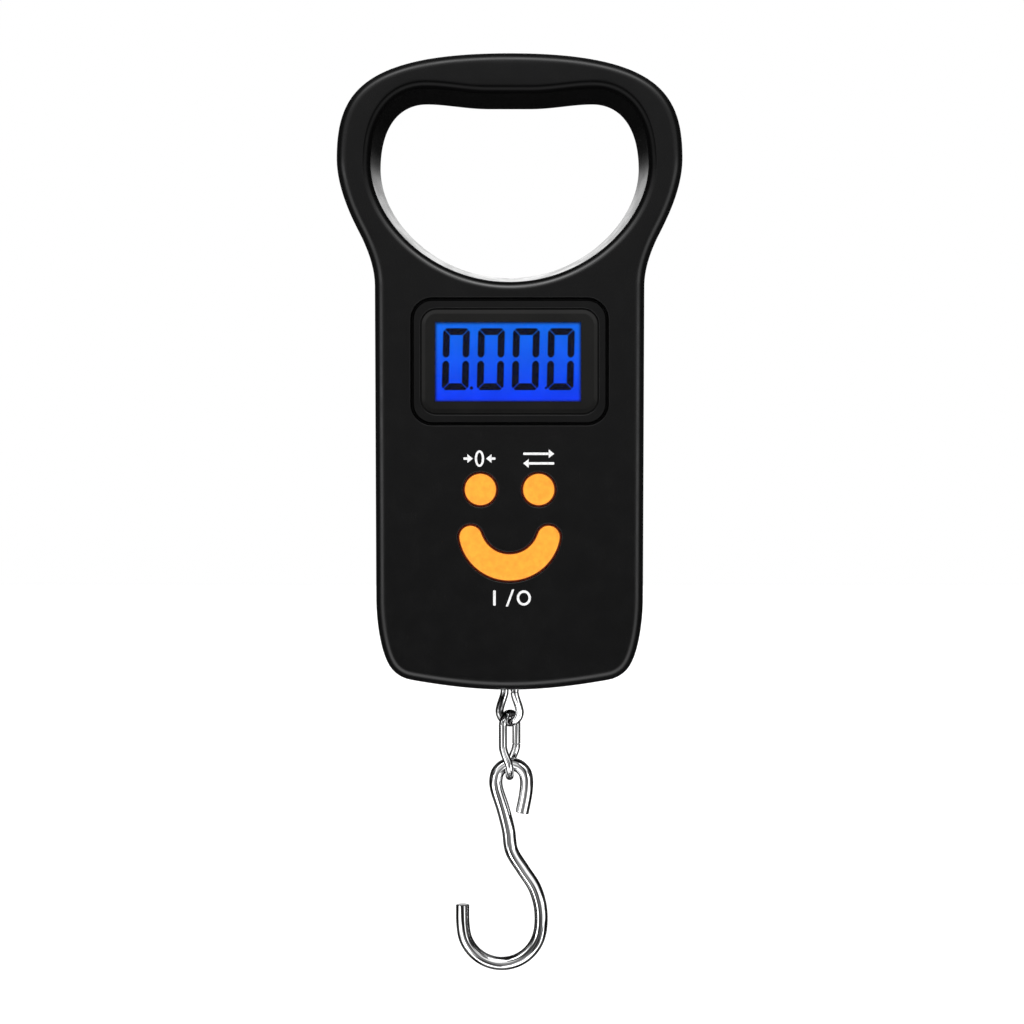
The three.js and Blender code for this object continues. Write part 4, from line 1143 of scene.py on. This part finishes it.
def build_screws():
    """Pan-head self-tapping screws with a cross recess and a thread."""
    for i, (x, z) in enumerate(screw_places(), start=1):
        dome = [(SCREW.head * math.sin(t), -0.5 - 1.1 * math.cos(t)) for t in np.linspace(0.12, 1.57, 8)]
        thread = []
        for turn in range(SCREW.turns):
            along = 0.6 + turn * SCREW.pitch
            thread += [(SCREW.core, along), (SCREW.crest, along + 0.3), (SCREW.core, along + 0.6)]
        profile = [(0, -1.6), *dome, (SCREW.head, 0), (SCREW.core, 0), *thread, (0.7, 9.2), (0, 10)]
        piece = lathe(profile, place(x, BOSS.seat, z), (0, -1, 0), 40)
        recess = []
        for turn in (0.4 + i, 0.4 + i + math.pi / 2):
            arm = extruded(rounded_rectangle(2.7, 0.62, 0.2, 0, 0, 4), [(-0.12, -0.75), (0.06, 0.7)])
            arm.data.transform(Matrix.Rotation(turn, 4, "Y"))
            arm.data.transform(Matrix.Translation(place(x, BOSS.seat - 1.45, z)))
            recess.append(arm)
        cut(piece, recess)
        finish(piece, f"case_screw_body_{i}", "case", f"case_screw_{i}", "plated_steel", 30)


def build_cells():
    """Two AAA cells: steel can ends, a printed sleeve with rolled edges, and the spring behind each."""
    for name in ("upper", "lower"):
        low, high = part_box(f"{name}_battery")
        centre = (low + high) / 2
        spring_low, spring_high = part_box(f"{name}_battery_spring")
        nub_left = centre.x < (spring_low.x + spring_high.x) / 2
        origin = Vector((low.x if nub_left else high.x, centre.y, centre.z))
        axis = (1, 0, 0) if nub_left else (-1, 0, 0)
        profile = [(0, 0), (1.7, 0), (1.9, 0.2), (1.9, 1.0), (3.9, 1.0), (4.1, 1.15), (4.7, 1.1),
                   (5.1, 1.3), (5.25, 1.7), (5.25, 43.9), (5.1, 44.25), (4.75, 44.4), (4.5, 44.15),
                   (4.2, 44.15), (4.0, 44.4), (0, 44.5)]
        can = lathe(profile, origin, axis, 56)
        finish(can, f"{name}_cell", "case", f"{name}_battery", "battery_jacket")
        can.data.materials.append(FINISHES["plated_steel"])
        for face in can.data.polygons:
            from_axis = math.hypot(face.center.y - origin.y, face.center.z - origin.z) / MM
            face.material_index = 1 if from_axis < 4.45 else 0
        spring_axis = -1 if nub_left else 1
        start = spring_high.x if nub_left else spring_low.x
        length = (spring_high.x - spring_low.x) / MM - 2 * SPRING.wire
        points = []
        for t in np.linspace(0, 1, SPRING.coils * 28):
            radius = (SPRING.radius - SPRING.taper * t) * MM
            turn = t * SPRING.coils * 2 * math.pi
            along = start + spring_axis * (SPRING.wire + t * length) * MM
            points.append((along, centre.y + radius * math.cos(turn), centre.z + radius * math.sin(turn)))
        coil = sweep(points, SPRING.wire, 10, chamfer=0.08)
        finish(coil, f"{name}_coil", "case", f"{name}_battery_spring", "plated_steel")


# ---------------------------------------------------------------- chain and hook


def link_points(count=260):
    """Centre line of one link: a stadium whose plane turns about the vertical."""
    half, low, high = LINK.half_width, LINK.twist_low, LINK.twist_high
    straight = LINK.height / 2 - half
    bend = math.pi * half
    total = 2 * bend + 4 * straight
    points = []
    for along in np.linspace(LINK.gap / 2, total - LINK.gap / 2, count):
        if along < straight:
            u, z = half, along
        elif along < straight + bend:
            angle = (along - straight) / half
            u, z = half * math.cos(angle), straight + half * math.sin(angle)
        elif along < 3 * straight + bend:
            u, z = -half, straight - (along - straight - bend)
        elif along < 3 * straight + 2 * bend:
            angle = math.pi + (along - 3 * straight - bend) / half
            u, z = half * math.cos(angle), -straight + half * math.sin(angle)
        else:
            u, z = half, along - (3 * straight + 2 * bend) - straight
        share = min(max((z - low) / (high - low), 0), 1)
        azimuth = -LINK.twist * share * share * (3 - 2 * share)
        points.append((u * math.cos(azimuth), u * math.sin(azimuth), z))
    return points


def build_chain():
    quarter = math.pi / 2
    feet = {"lower_link": quarter, "upper_link": -LINK.twist}
    eye_turn = feet["upper_link"] - LINK.twist + quarter
    bodies = {"upper_link": "upper_chain_link", "lower_link": "lower_chain_link"}
    for node, body in bodies.items():
        turned = Matrix.Rotation(feet[node], 3, "Z")
        centre = place(0, LOAD_F, LINK_TOPS[node] - LINK.height / 2)
        points = [centre + (turned @ Vector(point)) * MM for point in link_points()]
        wire = sweep(points, LINK.wire, 28, chamfer=0.12)
        finish(wire, f"{node}_wire", body, node, "chromed_steel")
    points = []
    for i in range(72):
        turn = 2 * math.pi * i / 72
        across = EYE.radius * math.cos(turn)
        point = Vector((across * math.cos(eye_turn), across * math.sin(eye_turn),
                        EYE.radius * math.sin(turn)))
        points.append(place(0, LOAD_F, EYE.z) + point * MM)
    eye = sweep(points, EYE.wire, 24, closed=True)
    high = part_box("eye_bolt")[1].z / MM
    foot = EYE.z + EYE.radius
    join(eye, [cylinder(place(0, LOAD_F, foot), (0, 0, 1), EYE.shank, high - foot, 40)])
    finish(eye, "eye_bolt_body", "case", "eye_bolt", "chromed_steel")


def arc_points(centre, radius, start, end, count):
    turns = [math.radians(degrees) for degrees in np.linspace(start, end, count)]
    return [(centre[0] + radius * math.cos(t), centre[1] + radius * math.sin(t)) for t in turns]


def flowing(points, steps=9):
    """A centripetal Catmull-Rom curve through points."""
    points = np.array(points, float)
    ends = [2 * points[0] - points[1], *points, 2 * points[-1] - points[-2]]
    line = [points[0]]
    for p0, p1, p2, p3 in zip(ends, ends[1:], ends[2:], ends[3:]):
        d0, d1, d2 = (np.linalg.norm(b - a) ** 0.5 for a, b in ((p0, p1), (p1, p2), (p2, p3)))
        m1 = ((p1 - p0) / d0 - (p2 - p0) / (d0 + d1) + (p2 - p1) / d1) * d1
        m2 = ((p2 - p1) / d1 - (p3 - p1) / (d1 + d2) + (p3 - p2) / d2) * d1
        for t in np.linspace(0, 1, steps + 1)[1:]:
            a, b = 2 * t**3 - 3 * t**2 + 1, t**3 - 2 * t**2 + t
            c, d = -2 * t**3 + 3 * t**2, t**3 - t**2
            line.append(a * p1 + b * m1 + c * p2 + d * m2)
    return line


def build_hook():
    bowl_x, bowl_z = HOOK.bowl
    centre_line = [
        (3.15, -84.8),
        (4.15, -79.5),
        *arc_points(HOOK.eye, HOOK.eye_radius, 0, 180, 7),
        (-3.4, -78.2),
        (-1.65, -83.8),
        (-0.3, -89.2),
        (0.5, -94.4),
        (3.4, -99.2),
        (6.4, -103.9),
        (7.9, -109.3),
        *arc_points(HOOK.bowl, HOOK.bowl_radius, -10, -180, 9),
        (bowl_x - HOOK.bowl_radius - 0.1, bowl_z + 5.2),
    ]
    points = [place(x, LOAD_F, z) for x, z in flowing(centre_line)]
    wire = sweep(points, HOOK.wire, 36, chamfer=0.18)
    finish(wire, "hook_wire", "load_hook", "hook", "chromed_steel")


# ---------------------------------------------------------------- carried-over parts


def dress_frame():
    """Gives every CAD node that is still shown its finish and slightly rounded edges."""
    slots = {row["node"]: row["material_slot"] for row in frame["record"]["subparts"]}
    for name, node in frame["nodes"].items():
        if node.hide_render:
            continue
        node.data.materials.clear()
        node.data.materials.append(FINISHES[slots[name]])
        bevel = node.modifiers.new("edges", "BEVEL")
        bevel.width = 0.08 * MM
        bevel.segments = 2
        bevel.limit_method = "ANGLE"
        bevel.angle_limit = math.radians(35)
        node.data.shade_smooth()
        node.data.set_sharp_from_angle(angle=math.radians(35))


# ---------------------------------------------------------------- studio


# Places in metres; the camera's lens and sensor are in millimetres.
CAMERA = Sizes(lens=84.375, sensor=36.0, place=(0.0006, -0.6225, -0.008))
KEY_LIGHT = Sizes(power=0.8, size=0.5, place=(-0.35, -0.65, 0.55))


def build_floor(z=-0.150, reach=4.0):
    mesh = bpy.data.meshes.new("floor")
    corners = [(-reach, -reach, z), (reach, -reach, z), (reach, reach, z), (-reach, reach, z)]
    mesh.from_pydata(corners, [], [(0, 1, 2, 3)])
    floor = bpy.data.objects.new("floor", mesh)
    bpy.context.scene.collection.objects.link(floor)
    made, nodes = material("pale_floor")
    paint = nodes.shade(Base_Color=(0.9, 0.9, 0.9), Roughness=0.9, Emission_Color=(1, 1, 1),
                        Emission_Strength=0.35)
    nodes.output(paint)
    mesh.materials.append(made)
    floor.visible_glossy = False


# Brightness of the mirrored studio at angles, in degrees, from the direction back to the camera.
SOFT_BOX_RING = [(0, 0.45), (12, 0.45), (28, 0.9), (42, 4.5), (57, 4.2), (69, 0.8), (84, 0.06), (180, 0.03)]


def build_world():
    """A soft white studio that turns with the camera. Mirror-like reflections see a dark camera side, a
    bright ring of soft boxes round it and a dark band beyond them, with the pale background behind the
    object above the horizon."""
    world = bpy.data.worlds.new("studio")
    bpy.context.scene.world = world
    nodes = Nodes(world)
    direction = nodes.add("TexCoord").outputs["Generated"]
    spaces = {"vector_type": "VECTOR", "convert_from": "WORLD", "convert_to": "CAMERA"}
    turned = nodes.add("VectorTransform", spaces, Vector=direction).outputs[0]
    split = nodes.add("SeparateXYZ", Vector=turned)
    x, z, away = (split.outputs[axis] for axis in range(3))
    angle = nodes.math("DIVIDE", nodes.math("ARCCOSINE", nodes.math("MULTIPLY", away, -1.0)), math.pi)
    ring = nodes.curve(angle, [(degrees / 180, level) for degrees, level in SOFT_BOX_RING])
    middle = nodes.remap(z, -0.1, 0.2, 0.55, 1.6)
    boxes = nodes.curve(nodes.remap(z, -1.0, 1.0, kind="LINEAR"), [
        (0, 1.3), (0.35, 1.0), (0.48, 0.6), (0.52, 1.35), (0.56, 0.3), (0.70, 0.3), (0.81, 0.8),
        (0.90, 2.3),
    ])
    lift = nodes.blend_value(nodes.remap(angle, 20 / 180, 40 / 180), middle, boxes)
    side = nodes.remap(x, -1.0, 1.0, 1.08, 0.92, "LINEAR")
    front = nodes.math("MULTIPLY", nodes.math("MULTIPLY", ring, lift), side)
    behind = nodes.remap(angle, 149 / 180, 158 / 180)
    above = nodes.remap(z, 0.10, 0.22)
    back = nodes.math("MULTIPLY", nodes.math("MULTIPLY", behind, above), 1.9)
    mirrored = nodes.add("Background", Strength=nodes.math("ADD", front, back), Color=(1, 1, 1)).outputs[0]
    plain = nodes.add("Background", Strength=1.0, Color=(1, 1, 1)).outputs[0]
    glossy = nodes.add("LightPath").outputs["Is Glossy Ray"]
    nodes.output(nodes.mix_shader(glossy, plain, mirrored), "OutputWorld")


def build_key_light():
    """One large soft light above and to the left of the camera. It shapes matt surfaces only."""
    light = bpy.data.lights.new("key", "AREA")
    light.energy = KEY_LIGHT.power
    light.size = KEY_LIGHT.size
    key = bpy.data.objects.new("key", light)
    bpy.context.scene.collection.objects.link(key)
    key.location = KEY_LIGHT.place
    key.rotation_euler = (Vector((0, 0, 0)) - key.location).to_track_quat("-Z", "Y").to_euler()
    key.visible_glossy = False


def build_camera():
    """Straight on, level with the middle of the picture, 0.6 m in front of the display."""
    camera = bpy.data.cameras.new("camera")
    camera.sensor_width = CAMERA.sensor
    camera.lens = CAMERA.lens
    eye = bpy.data.objects.new("camera", camera)
    bpy.context.scene.collection.objects.link(eye)
    eye.location = CAMERA.place
    eye.rotation_euler = (math.pi / 2, 0, 0)
    bpy.context.scene.camera = eye


build_case()
build_lens()
build_lcd()
build_marks()
build_buttons()
build_screws()
build_cells()
build_chain()
build_hook()
dress_frame()
build_floor()
build_world()
build_key_light()
build_camera()
bpy.context.scene.view_settings.view_transform = "Standard"

bpy.context.view_layer.update()
